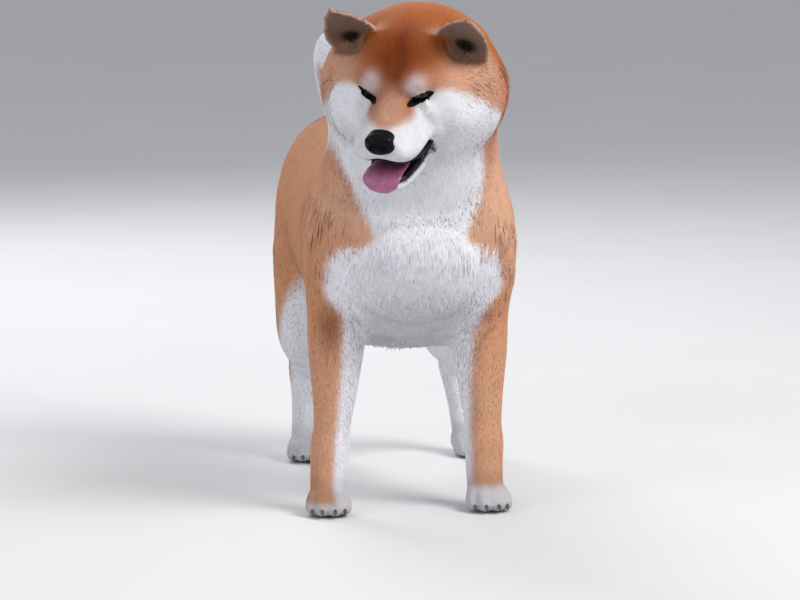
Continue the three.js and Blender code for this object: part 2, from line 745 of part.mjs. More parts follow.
// The tail's first length is what lies in a box back from the first cut, its last what lies beyond the
// second
function tailBox(t, direction, lift, size) {
  const f = tailForm(0).frameAt(t);
  const up = f.along.clone().multiplyScalar(direction);
  return boxOn(f.centre.clone().addScaledVector(up, lift), up, size);
}
const [firstCut, secondCut] = TAIL_CUTS;
const tailBaseBox = (lift) => tailBox(firstCut, -1, lift, [150, 120, 150]);
const tailTipBox = (lift) => tailBox(secondCut, 1, lift, [140, 110, 130]);
const tailPastBase = cut(wholeTail, tailBaseBox(-GAP));

const isHind = (name) => name.startsWith("hind");
const hindLocks = (grow) => LEGS.filter(isHind).flatMap((name) => breechLocks(name, grow));
const legRooms = legRegions.map((region) => region.outer);
const torsoCuts = [neckRegion(0), ...ruffLocks(GAP), ...hindLocks(GAP), tailSolid(GAP), ...legRooms];
addNode("torso", cut(flesh, ...torsoCuts), RED);
const neckWhole = join([flesh.intersect(neckRegion(GAP)), ...ruffLocks(0)]);
addNode("neck", cut(neckWhole, headRoom, jawRoom, ...earRoom, ...legRooms), RED);
legRegions.forEach(({ name, inner }) => {
  const coat = isHind(name) ? breechLocks(name, 0) : [];
  const pieces = [flesh.intersect(inner), ...coat, ...pawGeometries(name).map(solidOf)];
  const limb = join(pieces).subtract(below);
  addNode(name, cut(limb, pawRegion(PAW_TOP)), RED);
  addNode(name.replace("leg", "paw"), limb.intersect(pawRegion(PAW_TOP - GAP)), CREAM);
});
addNode("tail_base", wholeTail.intersect(tailBaseBox(0)), CREAM);
addNode("tail_curl", cut(tailPastBase, tailTipBox(-GAP)), CREAM);
addNode("tail_tip", tailPastBase.intersect(tailTipBox(0)), CREAM);
addNode("head", cut(headWhole, nose(GAP), tongue(GAP), ...earRoom, ...eyeRoom), RED);
addNode("lower_jaw", cut(mouthParts, headRoom, tongue(GAP)), CREAM);
addNode("nose", cut(nose(0), ...noseCuts), BLACK, 0.4);
addNode("tongue", cut(tongue(0), headRoom), TONGUE_PINK, 0.4);
SIDES.forEach((side, i) => {
  addNode("ear_" + side, ears[i], DARK_RED);
  addNode("eye_" + side, eyeball(side, 0), BLACK, 0.1);
});

// The origin is on the ground under the middle of the model's extents
const extents = new THREE.Box3();
nodes.forEach((node) => extents.expandByObject(node));
const middle = extents.getCenter(new THREE.Vector3());
nodes.forEach((node) => node.geometry.translate(-middle.x, -middle.y, -extents.min.z));

const dog = new THREE.Group();
nodes.forEach((node) => dog.add(node));
export default dog;
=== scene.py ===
"""A standing shiba inu, dressed for rendering: skin, coat of mesh tufts, eyes, lids, nose, mouth and claws.

Sizes are in millimetres in the dog's own frame: its origin is on the ground between the forefeet, -Y is the
way the body faces, +X is its left and +Z is up. place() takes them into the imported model's frame, in metres.
"""

import json

import bmesh
import bpy
import numpy as np
from bpy.props import FloatProperty, FloatVectorProperty, PointerProperty
from bpy.types import Operator, Panel, PropertyGroup
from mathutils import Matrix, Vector

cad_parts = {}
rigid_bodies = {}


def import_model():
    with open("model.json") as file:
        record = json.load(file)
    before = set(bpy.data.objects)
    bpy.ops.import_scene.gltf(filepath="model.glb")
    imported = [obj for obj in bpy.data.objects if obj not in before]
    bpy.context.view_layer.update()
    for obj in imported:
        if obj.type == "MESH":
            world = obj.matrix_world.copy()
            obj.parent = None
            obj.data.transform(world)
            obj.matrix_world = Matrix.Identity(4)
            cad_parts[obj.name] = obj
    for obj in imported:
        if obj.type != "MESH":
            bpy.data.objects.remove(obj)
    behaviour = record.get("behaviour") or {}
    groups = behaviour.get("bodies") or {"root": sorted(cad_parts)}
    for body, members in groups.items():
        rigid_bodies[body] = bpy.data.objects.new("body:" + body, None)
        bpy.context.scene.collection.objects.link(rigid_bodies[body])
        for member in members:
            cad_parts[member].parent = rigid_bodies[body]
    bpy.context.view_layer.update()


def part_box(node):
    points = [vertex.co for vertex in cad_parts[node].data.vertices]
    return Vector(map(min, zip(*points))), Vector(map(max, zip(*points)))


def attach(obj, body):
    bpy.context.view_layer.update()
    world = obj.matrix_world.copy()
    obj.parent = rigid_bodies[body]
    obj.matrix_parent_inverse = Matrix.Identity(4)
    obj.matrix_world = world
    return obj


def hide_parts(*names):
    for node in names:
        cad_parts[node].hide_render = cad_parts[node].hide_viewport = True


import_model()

bl_info = {
    "name": "Standing shiba inu",
    "version": (1, 0, 0),
    "blender": (4, 5, 0),
    "location": "View3D > Sidebar > Dog",
    "description": "Builds the skin, coat, face and stage of a standing shiba inu",
    "category": "Object",
}

# The photograph's camera, in the dog's own frame
PHOTO_WIDTH = 800
FOCAL_PIXELS = 3760
SENSOR = 36.0
CAMERA_AT = (-701.5, -3938.0, 710.0)
CAMERA_TURN = 10.0
CAMERA_DROP = 6.9

# Forms are runs of stations [x, y, z, wide, over, under]: a centre, the half-width across it, and how far the
# section reaches on its two other sides. "over" is up on the torso, head and jaw, and forward on the legs and
# neck.
TORSO = [
    (0, -62, 262, 62, 60, 58),
    (1, -42, 270, 88, 90, 90),
    (5, -10, 282, 107, 114, 112),
    (5, 35, 289, 111, 119, 118),
    (3, 95, 291, 107, 114, 114),
    (0, 155, 295, 100, 108, 105),
    (0, 215, 301, 96, 105, 97),
    (0, 270, 307, 95, 104, 88),
    (0, 318, 310, 89, 97, 80),
    (0, 350, 308, 70, 76, 64),
]
NECK = [
    (0, 22, 288, 88, 82, 88),
    (2, -2, 338, 92, 85, 86),
    (2, -26, 386, 90, 82, 84),
    (-1, -46, 430, 88, 74, 82),
    (-3, -58, 472, 85, 58, 66),
    (-4, -64, 506, 66, 34, 46),
]
FORELEG = [
    (88, -12, 26, 19, 19, 17),
    (86, -6, 48, 19.5, 19.5, 19),
    (84, -3, 70, 20.5, 21, 20.5),
    (81, -1, 94, 19.5, 20, 20),
    (78, 1, 132, 24, 24, 26),
    (76, 4, 172, 29, 30, 34),
    (74, 6, 212, 31.5, 38, 41),
    (69, -4, 252, 35, 46, 46),
    (64, -12, 296, 33, 50, 50),
    (58, -8, 330, 26, 44, 46),
]
HIND_UPPER = [
    (66, 322, 152, 27, 36, 38),
    (65, 300, 200, 34, 52, 56),
    (58, 300, 250, 42, 64, 66),
    (48, 306, 298, 42, 64, 60),
    (40, 308, 334, 34, 50, 48),
]
HIND_LOWER = [
    (0, 346, 26, 18, 18, 16),
    (0, 350, 46, 16.5, 17, 17),
    (0, 357, 74, 16, 17.5, 18.5),
    (0, 363, 102, 18, 21, 20),
    (0, 345, 126, 22, 26, 27),
]
# How each foot stands: its distance from the midline, how far it turns outwards, and how its joints spread
STANCE = {
    "foreleg_right": {"foot": 87, "turn": 8, "elbow": 0},
    "foreleg_left": {"foot": 81, "turn": 0, "elbow": 5},
    "hindleg_right": {"foot": 56, "turn": 6, "hock": 56, "stifle": 0},
    "hindleg_left": {"foot": 139, "turn": 14, "hock": 122, "stifle": 34},
}
# Heights up to which a foreleg bends towards its foot, and its spread at the elbow grows
FOOT_BEND = 90
ELBOW_BEND = 180
# Toes of one foot: [sideways, back, size], and its pad
TOES = [(-14, 9, 7.8), (-5.5, 0, 8.6), (5.5, 0, 8.6), (14, 9, 7.8)]
# How far in front of a foot's middle its toes begin, how long they are, and how far behind its front a toe's
# last station is
TOE_START = 14
TOE_LENGTH = 30
TOE_END = 5
# How much further apart the toes are at their ends
TOE_SPREAD = 1.25
PAD = [(0, -16, 12, 17, 10, 12), (0, -4, 17, 20, 16, 17), (0, 10, 18, 17, 17, 18)]
# Length of a claw, its radius at the root and the length of its round end
CLAW_LENGTH = 4.5
CLAW_RADIUS = 2.4
CLAW_DOME = 0.4
TAIL = [
    (0, 326, 366, 26, 27, 27),
    (-2, 360, 396, 31, 31, 31),
    (-8, 371, 436, 35, 33, 35),
    (-13, 345, 466, 38, 34, 37),
    (-12, 305, 472, 38, 35, 37),
    (-4, 270, 456, 34, 32, 33),
    (14, 258, 434, 27, 24, 25),
    (36, 272, 418, 18, 16, 16),
]
# The tail's form takes this share of those stations' sizes, since its coat stands off furthest
TAIL_COAT = 0.9
# Half-width at which the tail's coat is at its full depth
TAIL_FULL = 36

# The head's pose and its forms, in the head's own frame: nose towards -Y, crown towards +Z
HEAD_AT = np.array((-17.0, -106.0, 467.0))
HEAD_TURN = 26.5
HEAD_DROP = 19.5
HEAD_TILT = 3.5
CRANIUM = [
    (0, -46, -16, 41, 35, 40),
    (0, -32, -12, 60, 52, 54),
    (0, -10, -9, 80, 66, 68),
    (0, 15, -7, 94, 69, 74),
    (0, 42, -6, 94, 69.5, 72),
    (0, 68, -5, 78, 67, 62),
]
MUZZLE = [
    (0, -107, -28, 22, 14, 14),
    (0, -93, -28, 30, 20, 18),
    (0, -70, -24, 33, 28, 25),
    (0, -48, -16, 35, 33, 33),
    (0, -20, -12, 48, 42, 44),
]
JAW = [
    (0, -93, -77, 12, 6, 7),
    (0, -82, -78, 16.5, 8, 10),
    (0, -64, -77, 20.5, 10, 14),
    (0, -46, -75, 24, 11, 18),
    (0, -28, -70, 28, 13, 22),
    (0, -4, -62, 38, 16, 28),
]
NOSE = [(0, -118, -23.5, 11, 8, 8.5), (0, -113, -22, 15.5, 12, 11.5), (0, -102, -18.5, 13.5, 10.5, 10)]
TONGUE = [
    (-4, -107, -75, 12, 2.6, 2.6),
    (-3, -108, -69, 18, 3, 3),
    (-2, -103, -63, 20, 3.2, 3.2),
    (-1, -91, -60, 19.5, 3.2, 3.2),
    (0, -70, -61, 18, 3.2, 3.2),
    (0, -46, -58, 15, 3.2, 3.2),
]
# One side of each lip's edge, from the corner of the mouth to the middle at the front
LOWER_LIP = [
    (32, -23, -45), (29, -34, -53), (25, -47, -63), (21.5, -64, -67),
    (17, -82, -70), (9, -93, -72), (0, -96, -73),
]
UPPER_LIP = [
    (33, -22, -43), (34, -42, -46), (31, -64, -48), (28, -86, -46),
    (20, -103, -42), (9, -109, -40), (0, -110, -39),
]
NOSTRIL = [(6.5, -122, -23), (8.5, -116, -21), (13.5, -111, -20), (17, -106, -19.5)]
# Left ear: middle of its root, its tip, and the line from the inner to the outer end of its root. Along it:
# [distance from the root, half-width, front face, back face], where a negative front face is a hollow
EAR_ROOT, EAR_TIP, EAR_SPAN = (54, 2, 34), (73, -27, 82.5), (46, 17, -38)
EAR_SECTIONS = [
    (-12, 29, 3, 12),
    (0, 31, -9, 15.5),
    (20, 28.5, -10.5, 15.5),
    (37, 21, -7, 11.5),
    (51, 11.5, -2.5, 6.5),
    (59.5, 4, 0.6, 2.6),
]
# The power that rounds an ear's section
EAR_SQUARE = 2.1
# How far in front of a cup's surface it stays clear of the skull, how far behind that surface the skull goes
# there, and how far along the ear from a section a point still belongs to it
EAR_CLEAR = 9.0
EAR_BEHIND = 4.0
EAR_BESIDE = 3.0
# Left eye, as seen from in front: [x, z] of its corners, its ball and how much wider than high that is, the
# way it looks, how far its cornea rises and how many radians it reaches, and how far the eye opens above and
# below the line of its corners
EYE_INNER, EYE_OUTER = (20.2, 2.9), (36.4, 9.7)
EYE_CENTRE = (24.4, -39.4, 6.6)
EYE_RADIUS = 12.0
EYE_STRETCH = 1.15
EYE_LOOKS = (0.3, -1.0, -0.08)
CORNEA_RISE = 0.7
CORNEA_REACH = 0.62
EYE_ABOVE, EYE_BELOW = 4.0, 2.9
# How far the dark corner of the lids is drawn out from the middle of the eye
EYE_TAIL = 14.5
# How far the skin is behind the eyeball within the opening, and how far in front of it under the lids
BEHIND_BALL, BEFORE_BALL = 2.5, 0.8
# Radius of each lip's dark rim at the middle of the mouth, and how much it grows towards the corners
UPPER_RIM, LOWER_RIM = (1.8, 1.2), (2.4, 1.4)
# Swellings and hollows of the left half of the face and their mirror images: [centre], [size], height
FACE = [
    ((23, -46, 20), (14, 18, 8), 5),
    ((29, -50, 4), (14, 14, 8), -4),
    ((0, -34, 40), (5, 40, 26), -2.2),
    ((58, -28, -26), (24, 26, 26), 7),
    ((22, -94, -36), (12, 20, 12), 3.5),
    ((0, -56, 4), (10, 16, 12), -2),
    ((57, -7, 35), (19, 17, 16), -15),
]
# Where the eyeballs show, the skin is hollowed further
SOCKET = ((28.75, -56, 6.5), (10.5, 14, 6.2), -8)
# How near each other forms come before they swell to meet
FACE_FILLET, NECK_FILLET, TORSO_FILLET, LEG_FILLET = 18, 30, 26, 22

# Soft round spots, as [centre], [size]. An endless size leaves its axis out. Those of the head are on its
# left half.
ENDLESS = np.inf
SHORT_BY_EYE = ((28.75, -52, 5), (19, 22, 13))
NOSE_PLACE = ((0, -112, -22), (13, 9, 10))
# Spots of painted shade in each ear: its canal, painted near black as its shadow, and the darker patch round
# it
EAR_CANAL = ((59, 4, 39), (14, 12, 11))
EAR_SHADE = ((60, 6, 40), (20, 18, 17))
BROW_SPOT = ((24, 0, 18), (11, ENDLESS, 11))
BETWEEN_EYES = ((0, 0, 4), (14, ENDLESS, 12))
# Painted shade where the right foreleg meets the body
ELBOW_SHADE = ((-88, 0, 205), (14, ENDLESS, 26))
# The hollow in front of an ear: [centre], the way it runs, and its reach along that way and beside it. Then
# the edge where shade is painted on it: where it is and how wide, as shares of the reach.
EAR_HOLLOW = ((57, -2, 35), (0.82, 0.29, -0.49), (23, 11))
HOLLOW_EDGE = (0.9, 0.18)
# Where the coat in front of an ear is short: place along the ear, distance in front of it, and [size]
EAR_FRONT = (0.35, 16, (26, 22, 20))

# The coat by the form that carries it: [depth, length, width, cover], with the way it lies along the form.
# Depth is how far the outside of the coat stands off the skin, and cover how many layers of tufts overlap.
COAT = {
    "torso": (1.1, 15.0, 2.2, 10.8, 1),
    "neck": (1.1, 15.0, 2.3, 12.6, -1),
    "foreleg_right": (0.6, 9.0, 2.0, 5.4, -1),
    "foreleg_left": (0.6, 9.0, 2.0, 5.4, -1),
    "hindleg_right": (0.9, 12.0, 2.1, 6.6, -1),
    "hindleg_left": (0.9, 12.0, 2.1, 6.6, -1),
    "tail": (4.0, 28.0, 2.2, 20.8, 1),
    "cranium": (0.9, 9.5, 1.4, 9.2, 1),
    "muzzle": (0.8, 4.5, 0.8, 5.0, 1),
    "jaw": (1.0, 6.0, 0.9, 5.6, 1),
    "ear_right": (1.1, 6.0, 0.8, 4.5, 1),
    "ear_left": (1.1, 6.0, 0.8, 4.5, 1),
}
# What the coat loses within a form, as shares of its [depth, length, width], and what it gains in millimetres
LOSES = {
    "shin": (0.45, 0.35, 0.2),
    "paw": (0.3, 0.35, 0.2),
    "by the eyes": (0.8, 0.55, 0),
    "by the ears": (0.5, 0.5, 0),
    "tip of the muzzle": (0.5, 0.35, 0),
    "lids": (0, 0.6, 0),
    "lining of the mouth": (0.8, 0, 0),
    "inside of the ears": (0.4, 0, 0),
}
GAINS = {
    "cheek": (0.7, 6, 0.3),
    "nape": (0.3, 5, 0.3),
    "brow": (-0.6, -4.5, -0.25),
    "chest": (0, 3, 0),
    "rump": (1.5, 12, 0),
}
# The paws end within these heights
PAW_TOP = (26, 52)
# How near the ground the skin and the tufts come
ABOVE_GROUND = 0.3
HEAD_FORMS = ("cranium", "muzzle", "jaw", "ear_right", "ear_left")
SIDES = (("right", -1), ("left", 1))
FLESH = (
    "torso neck head lower_jaw ear_right ear_left tail_base tail_curl tail_tip foreleg_right foreleg_left "
    "hindleg_right hindleg_left forepaw_right forepaw_left hindpaw_right hindpaw_left"
).split()


# Arithmetic on points
def unit(v):
    """Vectors of length one."""
    return v / np.maximum(np.linalg.norm(v, axis=-1, keepdims=True), 1e-9)


def smooth(x, low, high):
    """0 below low, 1 above high, and 3t^2 - 2t^3 between them."""
    t = np.clip((x - low) / (high - low), 0, 1)
    return t * t * (3 - 2 * t)


def mix(a, b, share):
    """a where share is 0 and b where it is 1, for rows of values."""
    return a + (b - a) * np.asarray(share)[..., None]


def blob(points, at, size):
    """exp(-r^2) at each point, with r its distance from a spot's centre, measured in the spot's size."""
    return np.exp(-(((points - np.array(at)) / np.array(size)) ** 2).sum(-1))


def folded(points):
    """The head's points with its right half laid over its left."""
    return np.abs(points * (1, 0, 0)) + points * (0, 1, 1)


def catmull_rom(points, t):
    """The uniform cubic through points: between two of them it leaves and arrives along half the line joining
    their neighbours. t runs from 0 at the first point to 1 at the last."""
    p = np.concatenate([2 * points[:1] - points[1:2], points, 2 * points[-1:] - points[-2:-1]])
    x = np.clip(t, 0, 1) * (len(points) - 1)
    i = np.minimum(x.astype(int), len(points) - 2)
    w = (x - i)[..., None]
    a, b, c, d = p[i], p[i + 1], p[i + 2], p[i + 3]
    leave, arrive = (c - a) / 2, (d - b) / 2
    return b + leave * w + (3 * (c - b) - 2 * leave - arrive) * w**2 + (2 * (b - c) + leave + arrive) * w**3


def head_axes():
    """The head's left, back and crown directions in the dog's frame: the nose turned and dropped, then the
    head tilted about it."""
    turn, drop, tilt = np.radians((HEAD_TURN, HEAD_DROP, HEAD_TILT))
    nose = np.array((-np.sin(turn) * np.cos(drop), -np.cos(turn) * np.cos(drop), -np.sin(drop)))
    level = np.array((np.cos(turn), -np.sin(turn), 0))
    left = level * np.cos(tilt) - np.cross(nose, level) * np.sin(tilt)
    return np.array((left, -nose, np.cross(nose, left)))


HEAD_AXES = head_axes()


def from_head(points):
    """Points of the head's frame in the dog's frame."""
    return HEAD_AT + points @ HEAD_AXES


def to_head(points):
    """Points of the dog's frame in the head's frame."""
    return (points - HEAD_AT) @ HEAD_AXES.T


class OfHead:
    """A form of the head's frame, measured from points of the dog's."""

    def __init__(self, form):
        self.form = form

    def nearest(self, points):
        return self.form.nearest(to_head(points))


class Loft:
    """A closed form swept along its stations. Its section at an angle a is the curve |u/wide|^s + |v/reach|^s
    = 1, with u = wide * cos(a)^(2/s) and v = reach * sin(a)^(2/s), narrowed towards the top by its taper. Its
    ends are domes."""

    def __init__(self, stations, square=2.2, taper=0.0, ends=(8, 8), across=(1, 0, 0), grow=0.0):
        rows = np.array(stations, float)
        self.centres, self.sizes = rows[:, :3], rows[:, 3:] + grow
        self.square, self.taper, self.across = square, taper, np.array(across, float)
        self.ends = (ends[0] + grow, ends[1] + grow)
        self.samples = np.linspace(0, 1, 6 * len(rows))

    def frame(self, t):
        """Centre, directions along, across and over, and sizes at t."""
        step = 1e-4
        centre = catmull_rom(self.centres, t)
        along = unit(catmull_rom(self.centres, t + step) - catmull_rom(self.centres, t - step))
        across = unit(self.across - along * (along @ self.across)[:, None])
        return centre, along, across, np.cross(across, along), catmull_rom(self.sizes, t)

    def section(self, angle, reach):
        """The section's (u, v) at each angle, for each row of sizes."""
        c, s = np.cos(angle), np.sin(angle)
        rise = np.sign(s) * np.abs(s) ** (2 / self.square)
        spread = np.sign(c) * np.abs(c) ** (2 / self.square) * (1 - self.taper * rise)
        return reach[:, :1] * spread, np.where(s > 0, reach[:, 1:2], reach[:, 2:3]) * rise

    def shell(self, rings, sides, caps=6):
        """Rows of points round the form, from the pole of its first dome to the pole of its last."""
        centre, along, across, over, reach = self.frame(np.linspace(0, 1, rings))
        u, v = self.section(np.linspace(0, 2 * np.pi, sides, endpoint=False), reach)
        body = centre[:, None] + u[..., None] * across[:, None] + v[..., None] * over[:, None]
        a = np.linspace(np.pi / 2, 0, caps, endpoint=False)[:, None, None]
        start = centre[0] + (body[0] - centre[0]) * np.cos(a) - along[0] * self.ends[0] * np.sin(a)
        end = centre[-1] + (body[-1] - centre[-1]) * np.cos(a) + along[-1] * self.ends[1] * np.sin(a)
        return np.concatenate([start, body, end[::-1]])

    def nearest(self, points):
        """For each point: how far it is outside the form (negative inside), the form's direction there, its
        place from 0 to 1 along the form, and its (u, v) across the section as shares of the form's reach."""
        centre, along, across, over, reach = self.frame(self.samples)
        square = (points**2).sum(1)[:, None] - 2 * points @ centre.T + (centre**2).sum(1)
        i = square.argmin(1)
        away = points - centre[i]
        u, v, w = ((away * axes[i]).sum(1) for axes in (across, over, along))
        high = np.maximum(np.where(v > 0, reach[i, 1], reach[i, 2]), 1)
        rho = (np.abs(u / reach[i, 0]) ** self.square + np.abs(v / high) ** self.square) ** (1 / self.square)
        out = np.hypot(u, v) * (1 - 1 / np.maximum(rho, 1e-6))
        beyond = ((i == 0) & (w < 0)) | ((i == len(centre) - 1) & (w > 0))
        out = np.where(beyond, np.hypot(np.maximum(out, 0), w), out)
        return out, along[i], self.samples[i], np.stack([u / reach[i, 0], v / high], 1)


def grid_normals(points):
    """Outward directions of a form's rows: the cross product of the ways round and along it, turned away from
    the middle of each row."""
    around = np.roll(points, -1, 1) - np.roll(points, 1, 1)
    normals = unit(np.cross(around, np.gradient(points, axis=0)))
    normals *= np.sign((normals * (points - points.mean(1, keepdims=True))).sum())
    normals[0] = unit(points[0, 0] - points[1].mean(0))
    normals[-1] = unit(points[-1, 0] - points[-2].mean(0))
    return normals


def fillet(points, neighbours, reach):
    """Swells a form where it meets its neighbours: within reach of one it moves out by (reach - distance)^2 /
    (4 reach)."""
    flat = points.reshape(-1, 3)
    gaps = (np.abs(form.nearest(flat)[0]) for form in neighbours)
    push = sum(np.maximum(0, reach - gap) ** 2 / (4 * reach) for gap in gaps)
    return points + grid_normals(points) * push.reshape(points.shape[:2])[..., None]


def swell(points, bumps):
    """Moves points along their normals by height * exp(-r^2) round each bump's centre, with r measured in its
    sizes."""
    push = sum(height * blob(points, at, size) for at, size, height in bumps)
    return points + grid_normals(points) * push[..., None]


def both_sides(bumps):
    """Bumps off the middle, each with its mirror image."""
    return bumps + [((-at[0], *at[1:]), size, height) for at, size, height in bumps if at[0]]


# The dog's forms and where they lie
def leg_stations(name):
    """A leg's stations from the foot up, bent sideways to meet the foot where it stands."""
    stance = STANCE[name]
    sign = -1 if name.endswith("right") else 1
    if name.startswith("fore"):
        rows = np.array(FORELEG, float)
        z = rows[:, 2]
        rows[:, 0] += (stance["foot"] - FORELEG[0][0]) * np.maximum(0, 1 - z / FOOT_BEND)
        rows[:, 0] += stance["elbow"] * np.minimum(1, z / ELBOW_BEND)
    else:
        rows = np.array(HIND_LOWER + HIND_UPPER, float)
        z = rows[:, 2]
        hock, knee, hip = HIND_LOWER[3][2], HIND_UPPER[0][2], HIND_UPPER[-1][2]
        lower = stance["foot"] + (stance["hock"] - stance["foot"]) * z / hock
        rows[:, 0] = np.where(z < knee, lower, rows[:, 0] + stance["stifle"] * (hip - z) / (hip - knee))
    rows[:, 0] *= sign
    return rows


def frame_shift():
    """How far the dog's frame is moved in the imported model's: the left forepaw's middle and front are known
    in both."""
    low, high = (np.array(corner) * 1000 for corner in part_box("forepaw_left"))
    x, y = leg_stations("foreleg_left")[0, :2]
    front = y - TOE_START - TOE_LENGTH - CLAW_LENGTH - CLAW_DOME
    return np.array(((low[0] + high[0]) / 2 - x, low[1] - front, 0))


SHIFT = frame_shift()


def place(points):
    """Points of the dog's frame, in millimetres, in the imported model's frame, in metres."""
    return (points + SHIFT) / 1000


def build_forms():
    """The dog's soft forms by name."""
    forms = {
        "torso": Loft(TORSO, 2.35, ends=(26, 30)),
        "neck": Loft(NECK, 2.1, ends=(20, 22)),
        "tail": Loft([(*row[:3], *(TAIL_COAT * r for r in row[3:])) for row in TAIL], 2.2, ends=(12, 14)),
        "cranium": Loft(CRANIUM, 2.25, 0.1, (8, 24)),
        "muzzle": Loft(MUZZLE, 2.4, 0.38, (6, 8)),
        "jaw": Loft(JAW, 2.4, -0.1, (4, 8)),
    }
    for name in STANCE:
        forms[name] = Loft(leg_stations(name), 2.1, ends=(10, 18))
    for side, sign in SIDES:
        forms["ear_" + side] = ear_form(sign)
    return forms


def ear_form(sign):
    """A leaf-shaped cup along the line from the ear's root to its tip, thickened so that its rim is round."""
    root, tip = np.array(EAR_ROOT, float), np.array(EAR_TIP, float)
    up = unit(tip - root)
    rows = [(*(root + up * s), wide, front, back) for s, wide, front, back in EAR_SECTIONS]
    rows = [(sign * x, *rest) for x, *rest in rows]
    span = (EAR_SPAN[0], EAR_SPAN[1] * sign, EAR_SPAN[2] * sign)
    return Loft(rows, EAR_SQUARE, ends=(4, 2.5), across=span, grow=1.3)


FORMS = build_forms()


# The skin's outer shapes
def head_shells():
    """Cranium and muzzle, swollen where they meet and shaped by the face's bumps, and the jaw."""
    bumps = both_sides(FACE)
    shells = []
    for name, other, rings, sides in (("cranium", "muzzle", 130, 200), ("muzzle", "cranium", 70, 90)):
        points = fillet(FORMS[name].shell(rings, sides, 10), [FORMS[other]], FACE_FILLET)
        shells.append(swell(swell(points, bumps), both_sides([SOCKET])))
    shells[0] = open_ears(shells[0])
    shells.append(FORMS["jaw"].shell(40, 48))
    shells += [FORMS["ear_" + side].shell(40, 56, 3) for side, _ in SIDES]
    shells = [from_head(points) for points in shells]
    shells[0] = fillet(shells[0], [FORMS["neck"]], NECK_FILLET)
    return shells


def open_ears(points):
    """Moves the skull's points that would fill an ear's cup back behind the cup's surface."""
    flat = points.reshape(-1, 3)
    for side, _ in SIDES:
        beside, height, over = from_cup("ear_" + side, flat)
        fills = beside & (height < EAR_CLEAR) & (height > -EAR_BEHIND)
        flat = flat - over * np.where(fills, height + EAR_BEHIND, 0)[:, None]
    return flat.reshape(points.shape)


def from_cup(name, points):
    """Whether each point is beside an ear's cup, how far in front of the cup's surface it is, and the way the
    cup faces. The surface is the section's front curve, front * (1 - |u/wide|^s)^(1/s)."""
    form = FORMS[name]
    centre, along, across, over, reach = form.frame(form.nearest(points)[2])
    u, v, w = (((points - centre) * axis).sum(1) for axis in (across, over, along))
    cup = reach[:, 1] * np.maximum(1 - np.abs(u / reach[:, 0]) ** EAR_SQUARE, 0) ** (1 / EAR_SQUARE)
    beside = (np.abs(u) < reach[:, 0]) & (np.abs(w) < EAR_BESIDE) & (reach[:, 1] < 0)
    return beside, v - cup, over


def foot_axes(name):
    """The directions of one foot, turned the way it stands, and where it stands."""
    turn = np.radians(STANCE[name]["turn"]) * (-1 if name.endswith("right") else 1)
    axes = np.array(((np.cos(turn), np.sin(turn), 0), (-np.sin(turn), np.cos(turn), 0), (0, 0, 1)))
    return axes, leg_stations(name)[0, :3] * (1, 1, 0)


def toe_end(x, back, size):
    """The last station's place of a toe, where its claw begins."""
    return x * TOE_SPREAD, back - TOE_START - TOE_LENGTH + TOE_END, size + 0.4


def paw_shells(name):
    """The pad and toes of one foot. The toes spread towards their ends."""
    axes, at = foot_axes(name)
    shells = [Loft(PAD, ends=(7, 9)).shell(16, 30)]
    for x, back, size in TOES:
        front = back - TOE_START - TOE_LENGTH
        rows = [
            (*toe_end(x, back, size), size * 0.86, size * 0.72, size * 0.8),
            (x * 1.15, front + 15, 13, size * 1.05, size * 1.3, 13),
            (x * 0.9, front + 30, 20, size, size * 1.25, 20),
        ]
        shells.append(Loft(rows, ends=(5, 4)).shell(16, 20))
    return [points @ axes + at for points in shells]


def body_shells():
    """Torso, neck and legs, swollen where they meet, with the paws and the tail's core."""
    legs = [FORMS[name] for name in STANCE]
    shells = [
        fillet(FORMS["torso"].shell(90, 110, 12), [FORMS["neck"], *legs], TORSO_FILLET),
        fillet(FORMS["neck"].shell(60, 90, 8), [FORMS["torso"], OfHead(FORMS["cranium"])], NECK_FILLET),
        FORMS["tail"].shell(90, 30),
    ]
    for name in STANCE:
        shells.append(fillet(FORMS[name].shell(80, 40), [FORMS["torso"]], LEG_FILLET))
        shells += paw_shells(name)
    return shells


def grid_faces(rows, sides):
    """Faces of a form whose first and last rows are poles: quads between rows and triangles at the poles."""
    j = np.arange(sides)
    k = (j + 1) % sides
    first = 1 + np.arange(rows - 3)[:, None] * sides
    quads = np.stack([first + j, first + k, first + sides + k, first + sides + j], -1).reshape(-1, 4)
    last = 1 + (rows - 2) * sides
    bottom = last - sides
    first_cap = np.stack([0 * j, k + 1, j + 1], 1)
    last_cap = np.stack([0 * j + last, bottom + j, bottom + k], 1)
    return quads, np.concatenate([first_cap, last_cap])


def joined(shells):
    """One list of points and faces for many forms."""
    points, faces, count = [], [], 0
    for rows in shells:
        quads, ends = grid_faces(*rows.shape[:2])
        flat = np.concatenate([rows[0, :1], rows[1:-1].reshape(-1, 3), rows[-1, :1]])
        points.append(flat)
        faces += (quads + count).tolist() + (ends + count).tolist()
        count += len(flat)
    return np.concatenate(points), faces


# Meshes and objects
def new_piece(name, mesh, material, nodes=()):
    """Puts a mesh in the scene as a piece of the dog."""
    piece = bpy.data.objects.new(name, mesh)
    bpy.context.collection.objects.link(piece)
    mesh.materials.clear()
    mesh.materials.append(material)
    mesh.polygons.foreach_set("use_smooth", np.ones(len(mesh.polygons), bool))
    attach(piece, "root")
    if nodes:
        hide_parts(*nodes)


def mesh_of(name, shells):
    """A mesh of closed forms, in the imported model's frame, with its faces pointing out."""
    return outward(name, *joined(shells))


def ring_mesh(name, rings):
    """A mesh of forms closed both ways round, such as rims, with its faces pointing out."""
    points, faces, count = [], [], 0
    for rows in rings:
        high, wide = rows.shape[:2]
        index = np.arange(high * wide).reshape(high, wide) + count
        ahead, beside = np.roll(index, -1, 0), np.roll(index, -1, 1)
        faces += np.stack([index, beside, np.roll(beside, -1, 0), ahead], -1).reshape(-1, 4).tolist()
        points.append(rows.reshape(-1, 3))
        count += high * wide
    return outward(name, np.concatenate(points), faces)


